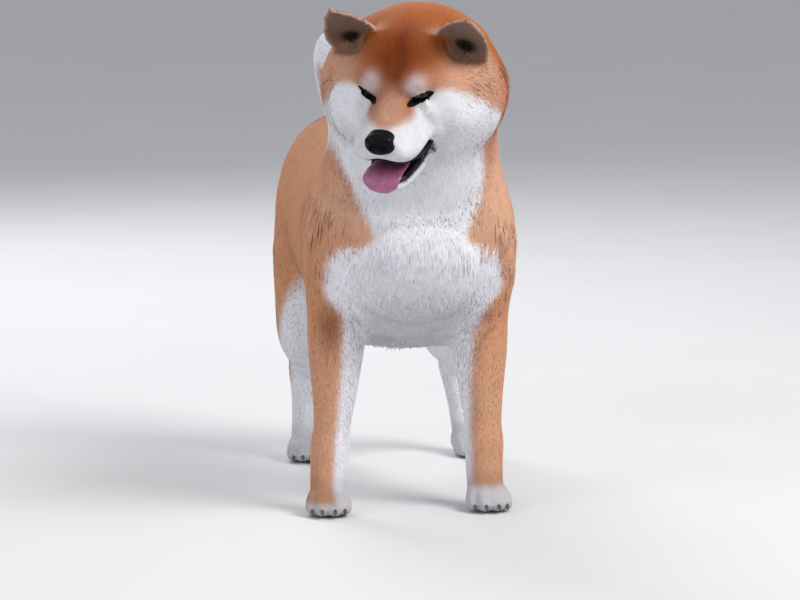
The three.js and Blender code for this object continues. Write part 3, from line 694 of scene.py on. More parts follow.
def outward(name, points, faces):
    """A mesh of points of the dog's frame and faces, with the faces turned to point out."""
    mesh = bpy.data.meshes.new(name)
    mesh.from_pydata(place(points).tolist(), [], faces)
    shape = bmesh.new()
    shape.from_mesh(mesh)
    bmesh.ops.recalc_face_normals(shape, faces=shape.faces)
    shape.to_mesh(mesh)
    shape.free()
    return mesh


def set_attribute(mesh, name, kind, values):
    """Stores one value for each vertex."""
    attribute = mesh.attributes.new(name, kind, "POINT")
    field = {"FLOAT_COLOR": "color", "FLOAT": "value"}[kind]
    attribute.data.foreach_set(field, np.ascontiguousarray(values, np.float32).ravel())


def read(collection, field, width, kind=np.float32):
    """A collection's values as rows."""
    values = np.empty(len(collection) * width, kind)
    collection.foreach_get(field, values)
    return values.reshape(-1, width)


def even_mesh(shells, size):
    """The outside of overlapping forms as one mesh of even quads, smoothed."""
    points, faces = joined(shells)
    mesh = bpy.data.meshes.new("skin")
    mesh.from_pydata(place(points).tolist(), [], faces)
    rough = bpy.data.objects.new("skin_forms", mesh)
    bpy.context.collection.objects.link(rough)
    even = rough.modifiers.new("Even quads", "REMESH")
    even.mode, even.voxel_size, even.use_smooth_shade = "VOXEL", size / 1000, True
    soft = rough.modifiers.new("Soft creases", "SMOOTH")
    soft.factor, soft.iterations = 0.5, 3
    result = bpy.data.meshes.new_from_object(rough.evaluated_get(bpy.context.evaluated_depsgraph_get()))
    bpy.data.objects.remove(rough)
    bpy.data.meshes.remove(mesh)
    result.name = "skin"
    return result


class Skin:
    """The skin's mesh as arrays in the dog's frame, with what each of its points carries: the coat's depth,
    length, width and cover, the way it lies, its colour and the form that it belongs to."""

    # Forms share a point by exp(-distance / BLEND), and count as equal from DEEP millimetres inside them
    BLEND = 5
    DEEP = 4
    # How much further from the skull the lining of an ear's cup counts
    CUP_AWAY = 20
    # How many neighbours of a vertex are kept
    NEAR = 8

    def __init__(self, mesh):
        self.mesh = mesh
        self.outside = read(mesh.vertices, "co", 3).astype(float) * 1000 - SHIFT
        self.normals = read(mesh.vertex_normals, "vector", 3).astype(float)
        self.neighbours = self.neighbour_table()
        self.in_head = to_head(self.outside)
        self.in_half = folded(self.in_head)
        self.head_normals = self.normals @ HEAD_AXES.T
        self.measure()
        self.points = self.outside - self.normals * self.depth[:, None]
        self.clear_eyes()
        self.points[:, 2] = np.maximum(self.points[:, 2], ABOVE_GROUND)

    def neighbour_table(self):
        """Neighbours of each vertex, with the vertex itself in the places left over."""
        edges = read(self.mesh.edges, "vertices", 2, np.int32)
        ends = np.concatenate([edges, edges[:, ::-1]])
        ends = ends[np.argsort(ends[:, 0], kind="stable")]
        first = np.searchsorted(ends[:, 0], np.arange(len(self.outside)))
        rank = np.arange(len(ends)) - first[ends[:, 0]]
        table = np.repeat(np.arange(len(self.outside))[:, None], self.NEAR, 1)
        kept = rank < self.NEAR
        table[ends[kept, 0], rank[kept]] = ends[kept, 1]
        return table

    def spread(self, values, times):
        """Values averaged over neighbours, a number of times."""
        for _ in range(times):
            values = values[self.neighbours].mean(1)
        return values

    def measure(self):
        """Weighs each form's share in each point, and blends the forms' coats by it."""
        names = list(COAT)
        out, along, place_on, across = {}, {}, {}, {}
        for name in names:
            form, head = FORMS[name], name in HEAD_FORMS
            points = self.in_head if head else self.outside
            out[name], direction, place_on[name], across[name] = form.nearest(points)
            along[name] = direction @ HEAD_AXES if head else direction
        self.find_cups()
        for side, _ in SIDES:
            out["cranium"] = out["cranium"] + self.CUP_AWAY * self.cup[side]
        weights = np.exp(-np.stack([np.maximum(out[name], -self.DEEP) for name in names]) / self.BLEND)
        weights /= weights.sum(0)
        self.names, self.across, self.place_on = names, across, place_on
        self.weight = dict(zip(names, weights))
        table = np.array([COAT[name] for name in names])
        coat = self.spread(weights.T @ table[:, :4], 3)
        self.sizes, self.cover = coat[:, :3], coat[:, 3]
        lie = sum(w[:, None] * along[name] * COAT[name][4] for name, w in self.weight.items())
        self.shape_coat()
        self.bare_places()
        self.hollow_ears()
        self.depth, self.length, self.width = self.sizes.T
        self.lie = self.lay_coat(lie)
        self.group = weights.argmax(0)

    def find_cups(self):
        """How far each point lines an ear's cup, which belongs to the ear and not to the skull."""
        self.cup = {}
        for side, _ in SIDES:
            beside, height, over = from_cup("ear_" + side, self.in_head)
            facing = smooth((self.head_normals * over).sum(1), 0.0, 0.4)
            self.cup[side] = self.spread(beside * (1 - smooth(np.abs(height), 2.5, 4.5)) * facing, 1)

    def head_share(self):
        """How far a point belongs to the head."""
        return sum(self.weight[name] for name in HEAD_FORMS)

    def leg_share(self):
        """How far a point belongs to the legs."""
        return sum(self.weight[name] for name in STANCE)

    def lose(self, *places):
        """Takes shares of the coat's depth, length and width away at named places."""
        self.sizes *= 1 - sum(share[:, None] * np.array(LOSES[name]) for name, share in places)

    def gain(self, *places):
        """Adds millimetres to the coat's depth, length and width at named places."""
        self.sizes += sum(share[:, None] * np.array(GAINS[name]) for name, share in places)

    def shape_coat(self):
        """Makes the coat shorter and longer within a form."""
        y, z = self.outside[:, 1], self.outside[:, 2]
        hx, hy, hz = self.in_half.T
        legs, cranium = self.leg_share(), self.weight["cranium"]
        self.lose(("shin", legs * (1 - smooth(z, 30, 190))), ("paw", legs * (1 - smooth(z, *PAW_TOP))))
        cheek = cranium * smooth(hx, 46, 80) * (1 - smooth(hz, 5, 40)) * smooth(hy, -45, -15)
        self.gain(("cheek", cheek), ("nape", cranium * smooth(hy, 0, 45)))
        self.gain(("brow", cranium * (1 - smooth(hy, -48, -20))))
        self.lose(("by the eyes", blob(self.in_half, *SHORT_BY_EYE)))
        # In front of the ears the coat is short, so that their cups stay open
        self.lose(("by the ears", sum(self.near_ear_front(side) for side, _ in SIDES)))
        self.lose(("tip of the muzzle", self.weight["muzzle"] * (1 - smooth(hy, -106, -84))))
        self.gain(("chest", self.weight["torso"] * (1 - smooth(y, -50, 0))))
        brush, on_tail = self.weight["tail"], self.place_on["tail"]
        reach = np.interp(on_tail, np.linspace(0, 1, len(TAIL)), np.array(TAIL)[:, 3])
        self.sizes[:, 0] *= 1 - brush * (1 - reach / TAIL_FULL)
        self.sizes[:, 1] *= 1 - 0.3 * brush * smooth(on_tail, 0.7, 1)
        self.gain(("rump", smooth(y, 300, 350) * (1 - smooth(z, 300, 350)) * smooth(z, 140, 190)))

    def bare_places(self):
        """Takes the hair away on the soles, the mouth's lining, the nose's place and round the eyes."""
        hx, hy, hz = self.in_half.T
        up = self.head_normals[:, 2]
        roof = (hx < lip_reach(UPPER_LIP, hy) - 1) & (hy > -108) & (up < -0.3) & (hz < -34) & (hz > -64)
        floor = (hx < lip_reach(LOWER_LIP, hy) - 0.5) & (hy > -95) & (up > 0.2) & (hz < -48) & (hz > -82)
        self.lining = self.spread(((roof | floor) & (hy < -20)).astype(float), 2)
        near_eye = (1 - smooth(self.eye_scale(self.in_head), 1.2, 2.2)) * (1 - smooth(hy, -38, -28))
        self.lose(("lids", near_eye))
        self.lose(("lining of the mouth", self.lining))
        soles = smooth(-self.normals[:, 2], 0.4, 0.8) * (1 - smooth(self.outside[:, 2], 2, 5))
        nose = smooth(blob(self.in_half, *NOSE_PLACE), 0.5, 0.8)
        self.cover *= (1 - soles) * (1 - smooth(self.lining, 0.2, 0.5)) * (1 - nose) * (1 - self.eye_bare())

    def hollow_ears(self):
        """Finds the ears' insides, which go on into hollows in front of them, and thins the coat there."""
        centre, way, (long, wide) = EAR_HOLLOW
        gap = self.in_half - centre
        along = gap @ np.array(way)
        beside = np.sqrt(np.maximum((gap**2).sum(-1) - along**2, 0))
        reach = np.hypot(along / long, beside / wide)
        cranium = self.weight["cranium"]
        edge, soft = HOLLOW_EDGE
        self.hollow_edge = cranium * np.exp(-(((reach - edge) / soft) ** 2))
        hollow = cranium * (1 - smooth(reach, 0.7, 1.0))
        self.ear_inside = np.clip(self.cup["right"] + self.cup["left"] + hollow, 0, 1)
        self.cover *= 1 - 0.35 * self.ear_inside
        self.lose(("inside of the ears", self.ear_inside))

    def clear_eyes(self):
        """Moves the skin behind the eyeballs within their openings: scale is 1 on an opening's outline."""
        points = to_head(self.points)
        self.opened = (1 - smooth(self.eye_scale(points), 1.0, 1.45)) * (1 - smooth(points[:, 1], -36, -26))
        ball = ball_front(np.abs(points[:, 0]), points[:, 2])
        points[:, 1] += self.opened * np.maximum(0, ball + BEHIND_BALL - points[:, 1])
        self.points = from_head(points)

    def across_eye(self, points):
        """Places along the line of an eye's corners and across it, and half the line's length."""
        middle, across, half = eye_line()
        away, up = np.abs(points[:, 0]) - middle[0], points[:, 2] - middle[1]
        return away * across[0] + up * across[1], up * across[0] - away * across[1], half

    def eye_scale(self, points):
        """How many times larger than an eye's opening the outline through each point is."""
        u, v, half = self.across_eye(points)
        return np.hypot(u / half, v / np.where(v > 0, EYE_ABOVE, EYE_BELOW))

    def near_ear_front(self, side):
        """1 on the skull in front of an ear's opening, falling away within 20 mm."""
        place_on, away, size = EAR_FRONT
        centre, _, _, over, _ = FORMS["ear_" + side].frame(np.array([place_on]))
        return self.weight["cranium"] * blob(self.in_head, centre[0] + over[0] * away, size)

    def eye_bare(self):
        """1 over the eyes' openings and their rims, where no hair grows."""
        u, v, _ = self.across_eye(self.in_head)
        ends = smooth(u, 0, 6) * (1 - smooth(u, EYE_TAIL - 2, EYE_TAIL + 1))
        tail = (1 - smooth(np.abs(v - 0.06 * u), 1.2, 2.6)) * ends
        open_part = 1 - smooth(self.eye_scale(self.in_head), 1.35, 1.6)
        return np.maximum(open_part, tail) * (1 - smooth(self.in_head[:, 1], -38, -28))

    def lay_coat(self, lie):
        """Turns the lie downwards on the chest, flanks and cheeks and forwards on the paws, keeps it in the
        skin's plane and smooths it."""
        y, z = self.outside[:, 1], self.outside[:, 2]
        down = self.weight["torso"] * (0.25 + 1.6 * (1 - smooth(y, -50, 10))) + 0.3 * self.weight["neck"]
        down = down + 0.7 * self.weight["cranium"] * smooth(self.in_half[:, 0], 40, 75)
        forwards = 1.5 * self.leg_share() * (1 - smooth(z, *PAW_TOP))
        lie = lie - down[:, None] * np.array((0, 0, 1.0)) - forwards[:, None] * np.array((0, 1.0, 0))
        for _ in range(6):
            lie = self.spread(self.in_plane(lie), 1)
        return self.in_plane(lie)

    def in_plane(self, lie):
        """Directions turned into the skin's plane."""
        return unit(lie - self.normals * (lie * self.normals).sum(1)[:, None])


# Markings
# The cream of each cheek lies below this line: [distance behind HEAD_AT, height], in the head's frame
CHEEK_LINE = ((-50, 12), (-40, 11), (-30, 6), (-20, 0), (-10, -9), (0, -18), (15, -32), (34, -60), (45, -85))
# The tan bridge of the muzzle: [place along the muzzle, half-width]
BRIDGE = ((-105, 4), (-98, 8), (-90, 16), (-80, 22), (-70, 25), (-60, 24), (-50, 21))
# The cream of the throat and chest: [height, half-width]
BIB = (
    (185, 66), (200, 70), (215, 74), (228, 84), (240, 93), (255, 96), (284, 92), (294, 82),
    (298, 62), (305, 46), (320, 52), (345, 64), (365, 70), (385, 74), (410, 77), (440, 80),
)
# How far inside a foreleg's middle its cream begins, and how high the cream of each forefoot reaches
FORELEG_CREAM = {"foreleg_right": (1, 15), "foreleg_left": (15, 27)}
# How much of the red, green and blue of the coat is taken away by painted shade under the throat and chest and
# on the muzzle, and by dust and painted shade on the feet
DUST_AND_SHADE = (0.22, 0.23, 0.23)


def line(table, x):
    """The height of a line through [x, height] points."""
    xs, heights = zip(*table)
    return np.interp(x, xs, heights)


def head_cream(skin):
    """Where the head is cream: under each cheek's line, off the bridge, and on the brow spots."""
    x, y, z = skin.in_half.T
    cheek = smooth(line(CHEEK_LINE, y) - z, -4, 5)
    bridge = smooth(line(BRIDGE, y) - x, -4, 5) * smooth(z, -21, -12) * smooth(y, -110, -94)
    spot = blob(skin.in_half, *BROW_SPOT) * (1 - smooth(y, -44, -30))
    return np.maximum(cheek * (1 - bridge), 0.5 * smooth(spot, 0.0, 0.85))


def foreleg_cream(name, inner, behind, z):
    """The cream of a foreleg: its inner side, a little of its back, and its foot."""
    begins, foot = FORELEG_CREAM[name]
    leg = smooth(inner, begins - 3, begins + 5) * (1 - smooth(z, 205, 240))
    leg = np.maximum(leg, 0.6 * smooth(behind, 0.3, 0.8) * (1 - smooth(z, 150, 220)))
    return np.maximum(leg, 1 - smooth(z, foot - 4, foot + 5))


def hindleg_cream(inner, y, z):
    """The cream of a hind leg: in front of and below a line down its outside, and its inner side."""
    front = 215 - 1.1 * (y - 253)
    return np.maximum(smooth(front - z, -12, 14), smooth(inner, 0, 12) * (1 - smooth(z, 225, 260)))


def body_cream(skin):
    """Where the body is cream: bib, belly, inner legs, feet, seat and the outside of the tail."""
    x, y, z = skin.outside.T
    behind, below = skin.normals[:, 1], -skin.normals[:, 2]
    # The throat's cream turns with the head
    off = np.abs(x + 18 * smooth(z, 340, 440))
    bib = smooth(line(BIB, z) - off, -5, 6) * (1 - smooth(y, 0, 25)) * (1 - smooth(behind, 0.1, 0.5))
    bib = bib * (1 - smooth(z, 440, 470))
    belly = smooth(below, 0.0, 0.5) * (1 - smooth(z, 235, 265)) * (1 - smooth(np.abs(x), 62, 82))
    cream = np.maximum(bib, belly)
    for name in STANCE:
        centre = np.interp(z, *leg_stations(name)[:, (2, 0)].T)
        inner = (centre - x) * np.sign(centre)
        fore = name.startswith("fore")
        leg = foreleg_cream(name, inner, behind, z) if fore else hindleg_cream(inner, y, z)
        cream = np.maximum(cream, skin.weight[name] * leg)
    seat = smooth(behind, 0.45, 0.85) * (1 - smooth(np.abs(x), 30, 55)) * smooth(y, 300, 330)
    outer = 1 - smooth(skin.across["tail"][:, 1], 0.25, 0.8)
    tail = skin.weight["tail"] * smooth(skin.place_on["tail"], 0.02, 0.12)
    return np.maximum(cream, seat) * (1 - tail) + outer * tail


def forehead(hx, hz):
    """The dark of the forehead: a patch that widens upwards, and a fine line up its middle."""
    patch = 0.9 * np.exp(-((hx / (18 + 0.5 * np.clip(hz - 15, 0, 50))) ** 2 + ((hz - 38) / 26) ** 2))
    return patch + 0.2 * np.exp(-((hx / 6) ** 2)) * smooth(hz, 8, 26) * (1 - smooth(hz, 50, 75))


def red_marks(skin, near):
    """Darker and paler places of the red coat, in the order in which they are laid on: [colour, share]. Near
    is how far a point has the head's red."""
    _, y, z = skin.outside.T
    hx, hy, hz = skin.in_half.T
    weight = skin.weight
    back = smooth(skin.normals[:, 2], 0.5, 1.0) * weight["torso"]
    furrow = np.clip(forehead(hx, hz), 0, 0.85) * skin.head_share() * (1 - smooth(hy, -10, 30))
    temple = smooth(hx, 24, 58) * (1 - smooth(hz, 22, 50)) * (1 - smooth(hy, 0, 40)) * weight["cranium"]
    between = blob(skin.in_half, *BETWEEN_EYES) * (1 - smooth(hy, -45, -35))
    chest = (weight["torso"] + weight["neck"]) * (1 - smooth(y, -70, 40)) * smooth(z, 150, 260)
    legs = skin.leg_share() * (1 - smooth(z, 120, 260))
    # Painted shade on the right elbow, laid on in dark red
    elbow = weight["foreleg_right"] * blob(skin.outside, *ELBOW_SHADE) * (1 - smooth(y, -25, 0))
    return [
        ("dark_red", 0.3 * back),
        ("dark_red", furrow),
        ("tan", 0.65 * temple),
        ("tan", 0.5 * between),
        ("tan", 0.5 * weight["muzzle"] * smooth(-hy, 50, 90)),
        ("tan", 0.7 * chest * (1 - near) + 0.35 * legs),
        # Painted shade at the right elbow
        ("dark_red", 0.6 * elbow),
    ]


def ear_marks(skin):
    """Colours of the ears, in the order in which they are laid on: [colour, share]."""
    ears = skin.weight["ear_right"] + skin.weight["ear_left"]
    # Painted shade along the edge of the hollow in front of each ear and round its canal
    shaded = 0.6 * skin.hollow_edge + 0.5 * blob(skin.in_half, *EAR_SHADE) * skin.ear_inside
    marks = [
        ("ear_back", 0.5 * ears * (1 - skin.ear_inside)),
        ("ear_inside", skin.ear_inside),
        ("dark_red", np.clip(shaded, 0, 0.7)),
        # The canal is painted near black, a painted shadow
        ("lip", 0.95 * smooth(blob(skin.in_half, *EAR_CANAL) * skin.ear_inside, 0.2, 0.75)),
    ]
    for side, _ in SIDES:
        ear = "ear_" + side
        wide = FORMS[ear].frame(skin.place_on[ear])[4][:, 0]
        from_edge = (1 - np.abs(skin.across[ear][:, 0])) * wide
        marks.append(("ear_rim", skin.weight[ear] * (1 - smooth(from_edge, 3.0, 6.0))))
    return marks


def paint(skin, colours):
    """The coat's colour at each point of the skin."""
    names = ("head_red", "body_red", "dark_red", "tan", "cream", "ear_back", "ear_inside", "ear_rim", "lip")
    shade = {name: np.array(getattr(colours, name)) for name in names}
    _, hy, hz = skin.in_head.T
    weight, head = skin.weight, skin.head_share()
    near = (1 - smooth(hy, 15, 130)) * smooth(hz, -140, -40) * np.clip(head + weight["neck"], 0, 1)
    colour = mix(shade["body_red"], shade["head_red"], near)
    for name, share in red_marks(skin, near):
        colour = mix(colour, shade[name], share)
    cream = mix(body_cream(skin)[:, None], head_cream(skin)[:, None], head)[:, 0]
    colour = mix(colour, shade["cream"], skin.spread(cream, 2))
    for name, share in ear_marks(skin):
        colour = mix(colour, shade[name], share)
    # Painted shade under the throat and chest and a little on the muzzle, and dust with painted shade on the
    # feet
    under = smooth(-skin.normals[:, 2], -0.1, 0.8) * (weight["torso"] + weight["neck"])
    feet = skin.leg_share() * (1 - smooth(skin.outside[:, 2], 20, 60))
    dust_and_shade = np.clip(1.2 * under + 1.5 * feet + 0.3 * weight["muzzle"], 0, 1.5)
    colour = colour * (1 - np.array(DUST_AND_SHADE) * dust_and_shade[:, None])
    return mix(colour, shade["lip"], smooth(skin.lining, 0.15, 0.5))


# Coat
# Pieces of the coat, by the forms that carry them
COAT_PIECES = {
    "coat_face": ("muzzle", "jaw", "ear_right", "ear_left"),
    "coat_head": ("cranium",),
    "coat_neck": ("neck",),
    "coat_torso": ("torso",),
    "coat_forelegs": ("foreleg_right", "foreleg_left"),
    "coat_hindlegs": ("hindleg_right", "hindleg_left"),
    "coat_tail": ("tail",),
}
TUFTS_PER_PIECE = 33000
# Width of a tuft's place in the unwrapped skin, as a share of its picture
PATCH = 0.003
# What differs at random from tuft to tuft: shares of the coat's length, width, depth and colour, and the
# height of the tip as a share of the tuft's
LENGTHS, WIDTHS, HEIGHTS = (0.75, 1.2), (0.8, 1.25), (0.6, 1.0)
SHADES, TIP_HEIGHTS = (0.9, 1.08), (0.55, 0.92)
# A tuft starts this far under the skin and stands this much higher than the coat is deep
UNDER_SKIN = 0.5
EXTRA_HEIGHT = 0.35
# The tuft's two halves as shares of its length, and the height of its middle and of a tip that leaves the
# skin
ROOT_HALF, TIP_HALF = 0.33, 0.67
MIDDLE_HEIGHT, FREE_TIP_HEIGHT = 0.85, 0.2
# How far tufts turn at random and in waves, in radians, and the waves' two directions in radians for each
# millimetre
TURN, WAVE = 0.14, 0.07
WAVES = np.array(((0.11, 0.07, 0.05), (-0.06, 0.09, 0.12)))
# A clump's cell as a share of the tufts' length and within limits, and how far middles and tips are drawn
# together
CLUMP_SHARE, CLUMP_LIMITS = 0.4, (2.2, 8)
MIDDLE_PULL, TIP_PULL = 0.08, 0.3
# The shortest way in millimetres that settle() walks in a step, on average, and its steps more than that
# needs
STEP, EXTRA_STEPS = 5, 2
# Three large primes, so that each cell of a grid has a number of its own
CELL_PRIMES = np.array((73856093, 19349663, 83492791))
# How much lighter the ground between tufts is painted, and the cover from which it is
LIT_GROUND, FULL_COVER = 0.4, 4
# How light a tuft is painted at its root, its middle's edges and ridge, and its tip: the root is painted
# lighter, as painted light against the shade deep in the coat
TUFT_SHADES = (1.3, 1.06, 1.06, 1.0, 0.98)
BRIGHTEST = 0.95
# A tuft's corners: its root's point, its middle's right and left edges and ridge, and its tip
TUFT_FACES = np.array(((0, 3, 1), (0, 2, 3), (0, 1, 2), (4, 1, 3), (4, 3, 2), (4, 2, 1)))


def settle(skin, points, start, steps):
    """The skin's vertex nearest each point, found by walking from a start to the nearest neighbour."""
    at = start
    for _ in range(steps):
        near = np.concatenate([skin.neighbours[at], at[:, None]], 1)
        gap = ((skin.points[near] - points[:, None]) ** 2).sum(-1)
        at = near[np.arange(len(at)), gap.argmin(1)]
    return at


def lift_to(skin, points, at, height, own, rise):
    """Points moved along the skin's normals to a height above it, by no more than that height and 2 mm, and
    those normals. Where the skin turns away from a root's own normal, they move along that one by their rise
    instead."""
    normals = skin.normals[at]
    away = ((normals * own).sum(1) < 0.25)[:, None]
    now = ((points - skin.points[at]) * normals).sum(1)
    moved = np.clip(height - now, -height - 2, height + 2)
    lift = np.where(away, own * rise[:, None], normals * moved[:, None])
    return points + lift, np.where(away, own, normals)


def clump(roots, size, shift):
    """The middle of the roots that share a root's cell, in a grid of cells of a size for each root."""
    cells = np.floor(roots / size[:, None] + shift).astype(np.int64)
    _, index = np.unique(cells @ CELL_PRIMES, return_inverse=True)
    count = np.bincount(index)
    return np.stack([(np.bincount(index, roots[:, k]) / count)[index] for k in range(3)], 1)


def scatter(skin, amount, random):
    """Roots spread over the skin in proportion to cover / (length * width), one for each equal share of the
    total. Gives each root's triangle and its weights of the triangle's corners."""
    mesh = skin.mesh
    mesh.calc_loop_triangles()
    corners = read(mesh.loop_triangles, "vertices", 3, np.int32)
    loops = read(mesh.loop_triangles, "loops", 3, np.int32)
    a, b, c = (skin.points[corners[:, k]] for k in range(3))
    area = np.linalg.norm(np.cross(b - a, c - a), axis=1) / 2
    wanted = skin.cover / (skin.length * skin.width)
    total = np.cumsum(area * wanted[corners].mean(1) * amount)
    count = int(total[-1])
    pick = np.searchsorted(total, (np.arange(count) + random.random(count)) * total[-1] / count)
    pick = np.minimum(pick, len(corners) - 1)
    s = np.sqrt(random.random(count))
    t = random.random(count)
    weights = np.stack([1 - s, s * (1 - t), s * t], 1)
    return corners[pick], loops[pick], weights


def comb(skin, sizes):
    """All tufts as arrays. A tuft leaves its root along the lie of the coat, turned a little at random and in
    waves, and rises from under the skin to the coat's depth at its middle, a third of the way along. Its tip
    goes down again between its neighbours and is drawn towards the middle of its clump."""
    random = np.random.default_rng(7)
    corners, loops, weights = scatter(skin, sizes.cover, random)

    def at_root(values):
        values = values[corners]
        return (values * (weights[..., None] if values.ndim > 2 else weights)).sum(1)

    root, normal, lie = at_root(skin.points), unit(at_root(skin.normals)), at_root(skin.lie)
    length, width, depth = at_root(skin.length), at_root(skin.width), at_root(skin.depth)
    count = len(root)
    length = length * random.uniform(*LENGTHS, count) * sizes.length
    width = width * random.uniform(*WIDTHS, count)
    side = unit(np.cross(lie, normal))
    waves = np.sin(root @ WAVES[0]) + np.sin(root @ WAVES[1] + 2)
    turn = WAVE * waves + random.normal(0, TURN, count)
    lie = unit(unit(lie) + side * turn[:, None])
    side = unit(np.cross(lie, normal))
    start = corners[np.arange(count), weights.argmax(1)]
    steps = int(np.ceil(length.max() / STEP)) + EXTRA_STEPS
    height = depth * random.uniform(*HEIGHTS, count) + EXTRA_HEIGHT
    middle = root + lie * (ROOT_HALF * length)[:, None]
    near = settle(skin, middle, start, steps)
    middle, over_middle = lift_to(skin, middle, near, MIDDLE_HEIGHT * height, normal, MIDDLE_HEIGHT * height)
    onward = unit(lie - over_middle * (lie * over_middle).sum(1)[:, None])
    tip = middle + onward * (TIP_HALF * length)[:, None]
    near = settle(skin, tip, near, steps)
    low = random.uniform(*TIP_HEIGHTS, count)
    tip, over_tip = lift_to(skin, tip, near, height * low, normal, FREE_TIP_HEIGHT * height)
    cell = np.clip(CLUMP_SHARE * length, *CLUMP_LIMITS)
    pull = clump(root, cell, random.random(3)) - root
    pull -= normal * (pull * normal).sum(1)[:, None]
    middle += MIDDLE_PULL * pull
    tip += TIP_PULL * pull
    colour = at_root(skin.colour) * random.uniform(*SHADES, count)[:, None]
    uv = (skin.unwrap[loops] * weights[..., None]).sum(1)
    return {
        "root": root - normal * UNDER_SKIN, "middle": middle, "tip": tip, "side": side, "normal": normal,
        "width": width, "colour": colour, "uv": uv, "group": skin.group[start], "over_middle": over_middle,
        "over_tip": over_tip,
    }


def tuft_normals(tufts, points):
    """Normals for each corner of each tuft's faces. They are the skin's below it, spread a little to the
    sides and turned towards the face's own where the two are more than 60 degrees apart."""
    side, middle = tufts["side"], tufts["over_middle"]
    over = [tufts["normal"], unit(middle - 0.3 * side), unit(middle + 0.3 * side), middle, tufts["over_tip"]]
    corners = np.stack(over, 1)[:, TUFT_FACES]
    a, b, c = (points[:, TUFT_FACES[:, k]] for k in range(3))
    own = unit(np.cross(b - a, c - a) * 1e6)[:, :, None]
    facing = (corners * own).sum(-1, keepdims=True)
    return unit(corners + 2 * own * np.maximum(0.5 - facing, 0)).reshape(-1, 3)


def tuft_mesh(name, tufts):
    """Closed leaf-shaped tufts: a point under the skin, a flat triangle across the middle with its ridge
    outwards, and a point at the end."""
    root, middle, tip = tufts["root"], tufts["middle"], tufts["tip"]
    side, normal = tufts["side"], tufts["normal"]
    count = len(root)
    half = tufts["width"][:, None] / 2
    points = [root, middle - side * half, middle + side * half, middle + normal * half * 0.5, tip]
    points = place(np.stack(points, 1))
    points[..., 2] = np.maximum(points[..., 2], ABOVE_GROUND / 1000)
    # Tufts are painted lighter at their roots: painted light against the shade inside the coat
    colour = np.minimum(tufts["colour"][:, None] * np.array(TUFT_SHADES)[None, :, None], BRIGHTEST)
    colour = np.concatenate([colour, np.ones((count, 5, 1))], 2)
    patch = np.array(((0, -1), (-1, 0), (1, 0), (0, 0), (0, 1))) * PATCH / 2
    uv = tufts["uv"][:, None] + patch
    loops = (np.arange(count)[:, None] * 5 + TUFT_FACES.ravel()).ravel()
    mesh = bpy.data.meshes.new(name)
    mesh.vertices.add(count * 5)
    mesh.vertices.foreach_set("co", points.astype(np.float32).ravel())
    mesh.loops.add(len(loops))
    mesh.loops.foreach_set("vertex_index", loops.astype(np.int32))
    mesh.polygons.add(count * len(TUFT_FACES))
    mesh.polygons.foreach_set("loop_start", np.arange(0, len(loops), 3, dtype=np.int32))
    mesh.polygons.foreach_set("use_smooth", np.ones(count * len(TUFT_FACES), bool))
    mesh.update(calc_edges=True)
    set_attribute(mesh, "coat_colour", "FLOAT_COLOR", colour)
    layer = mesh.uv_layers.new(name="OFBake")
    layer.data.foreach_set("uv", uv.reshape(-1, 2)[loops].astype(np.float32).ravel())
    mesh.normals_split_custom_set(tuft_normals(tufts, points).tolist())
    return mesh


# Eyes, lids, nose, mouth and claws, all in the head's frame except the claws
def tube(path, radii):
    """A closed round form along a path, with its radius at each point."""
    rows = [(*at, r, r, r) for at, r in zip(path, radii)]
    return Loft(rows, 2, ends=(2, 2), across=(0, 0, 1)).shell(160, 20)


def whole_lip(side):
    """A lip's path from the right corner of the mouth round the front to the left corner."""
    right = [(-x, y, z) for x, y, z in side]
    return right + list(side[-2::-1])


def lip_reach(side, y):
    """How far from the middle a lip runs, at a distance along the muzzle."""
    xs, ys, _ = np.array(side[::-1]).T
    return np.interp(y, ys, xs)


def eye_line():
    """The middle of the left eye's opening as [x, z], the way to its outer corner, and half its length."""
    inner, outer = np.array(EYE_INNER), np.array(EYE_OUTER)
    return (inner + outer) / 2, unit(outer - inner), np.hypot(*(outer - inner)) / 2


def eye_shell(sign, rings=56, sides=72):
    """A ball of rows round the way the eye looks, stretched from side to side. Its radius is R, and within
    the cornea's reach R + rise * (1 - (angle / reach)^2)^2. Gives the rows and each row's distance from the
    pupil's middle."""
    centre = np.array(EYE_CENTRE) * (sign, 1, 1)
    gaze = unit(np.array(EYE_LOOKS) * (sign, 1, 1))
    side = unit(np.cross(gaze, (0, 0, 1.0)))
    top = np.cross(side, gaze)
    theta = np.linspace(0, np.pi, rings)[:, None, None]
    a = np.linspace(0, 2 * np.pi, sides, endpoint=False)[None, :, None]
    radius = EYE_RADIUS + CORNEA_RISE * np.clip(1 - (theta / CORNEA_REACH) ** 2, 0, 1) ** 2
    rows = radius * (gaze * np.cos(theta) + (side * np.cos(a) + top * np.sin(a)) * np.sin(theta))
    return from_head(centre + rows * (EYE_STRETCH, 1, 1)), np.linspace(0, np.pi, rings) * EYE_RADIUS


def ball_front(x, z):
    """How far forward the left eyeball is at [x, z]: y - R * sqrt(1 - (x / wide)^2 - (z / R)^2)."""
    wide, high = (x - EYE_CENTRE[0]) / (EYE_STRETCH * EYE_RADIUS), (z - EYE_CENTRE[2]) / EYE_RADIUS
    return EYE_CENTRE[1] - EYE_RADIUS * np.sqrt(np.maximum(1 - wide**2 - high**2, 0.05))


def face_height(skin, x, z):
    """How far forward the skin is in front of points of the face, with the eyes' openings bridged over: the
    average y of the skin's forward facing points, weighted by exp(-(distance / 2.2 mm)^2) and a little of a
    wider weight."""
    points = to_head(skin.points)
    wide, back, high = np.abs(points[:, 0]), points[:, 1], points[:, 2]
    face = (wide < 60) & (back < -20) & (high > -25) & (high < 40)
    points = points[face & (skin.head_normals[:, 1] < -0.2) & (skin.opened < 0.05)]
    gap = (x[..., None] - points[:, 0]) ** 2 + (z[..., None] - points[:, 2]) ** 2
    weight = np.exp(-gap / 2.2**2) + 1e-4 * np.exp(-gap / 30)
    return (weight * points[:, 1]).sum(-1) / weight.sum(-1)


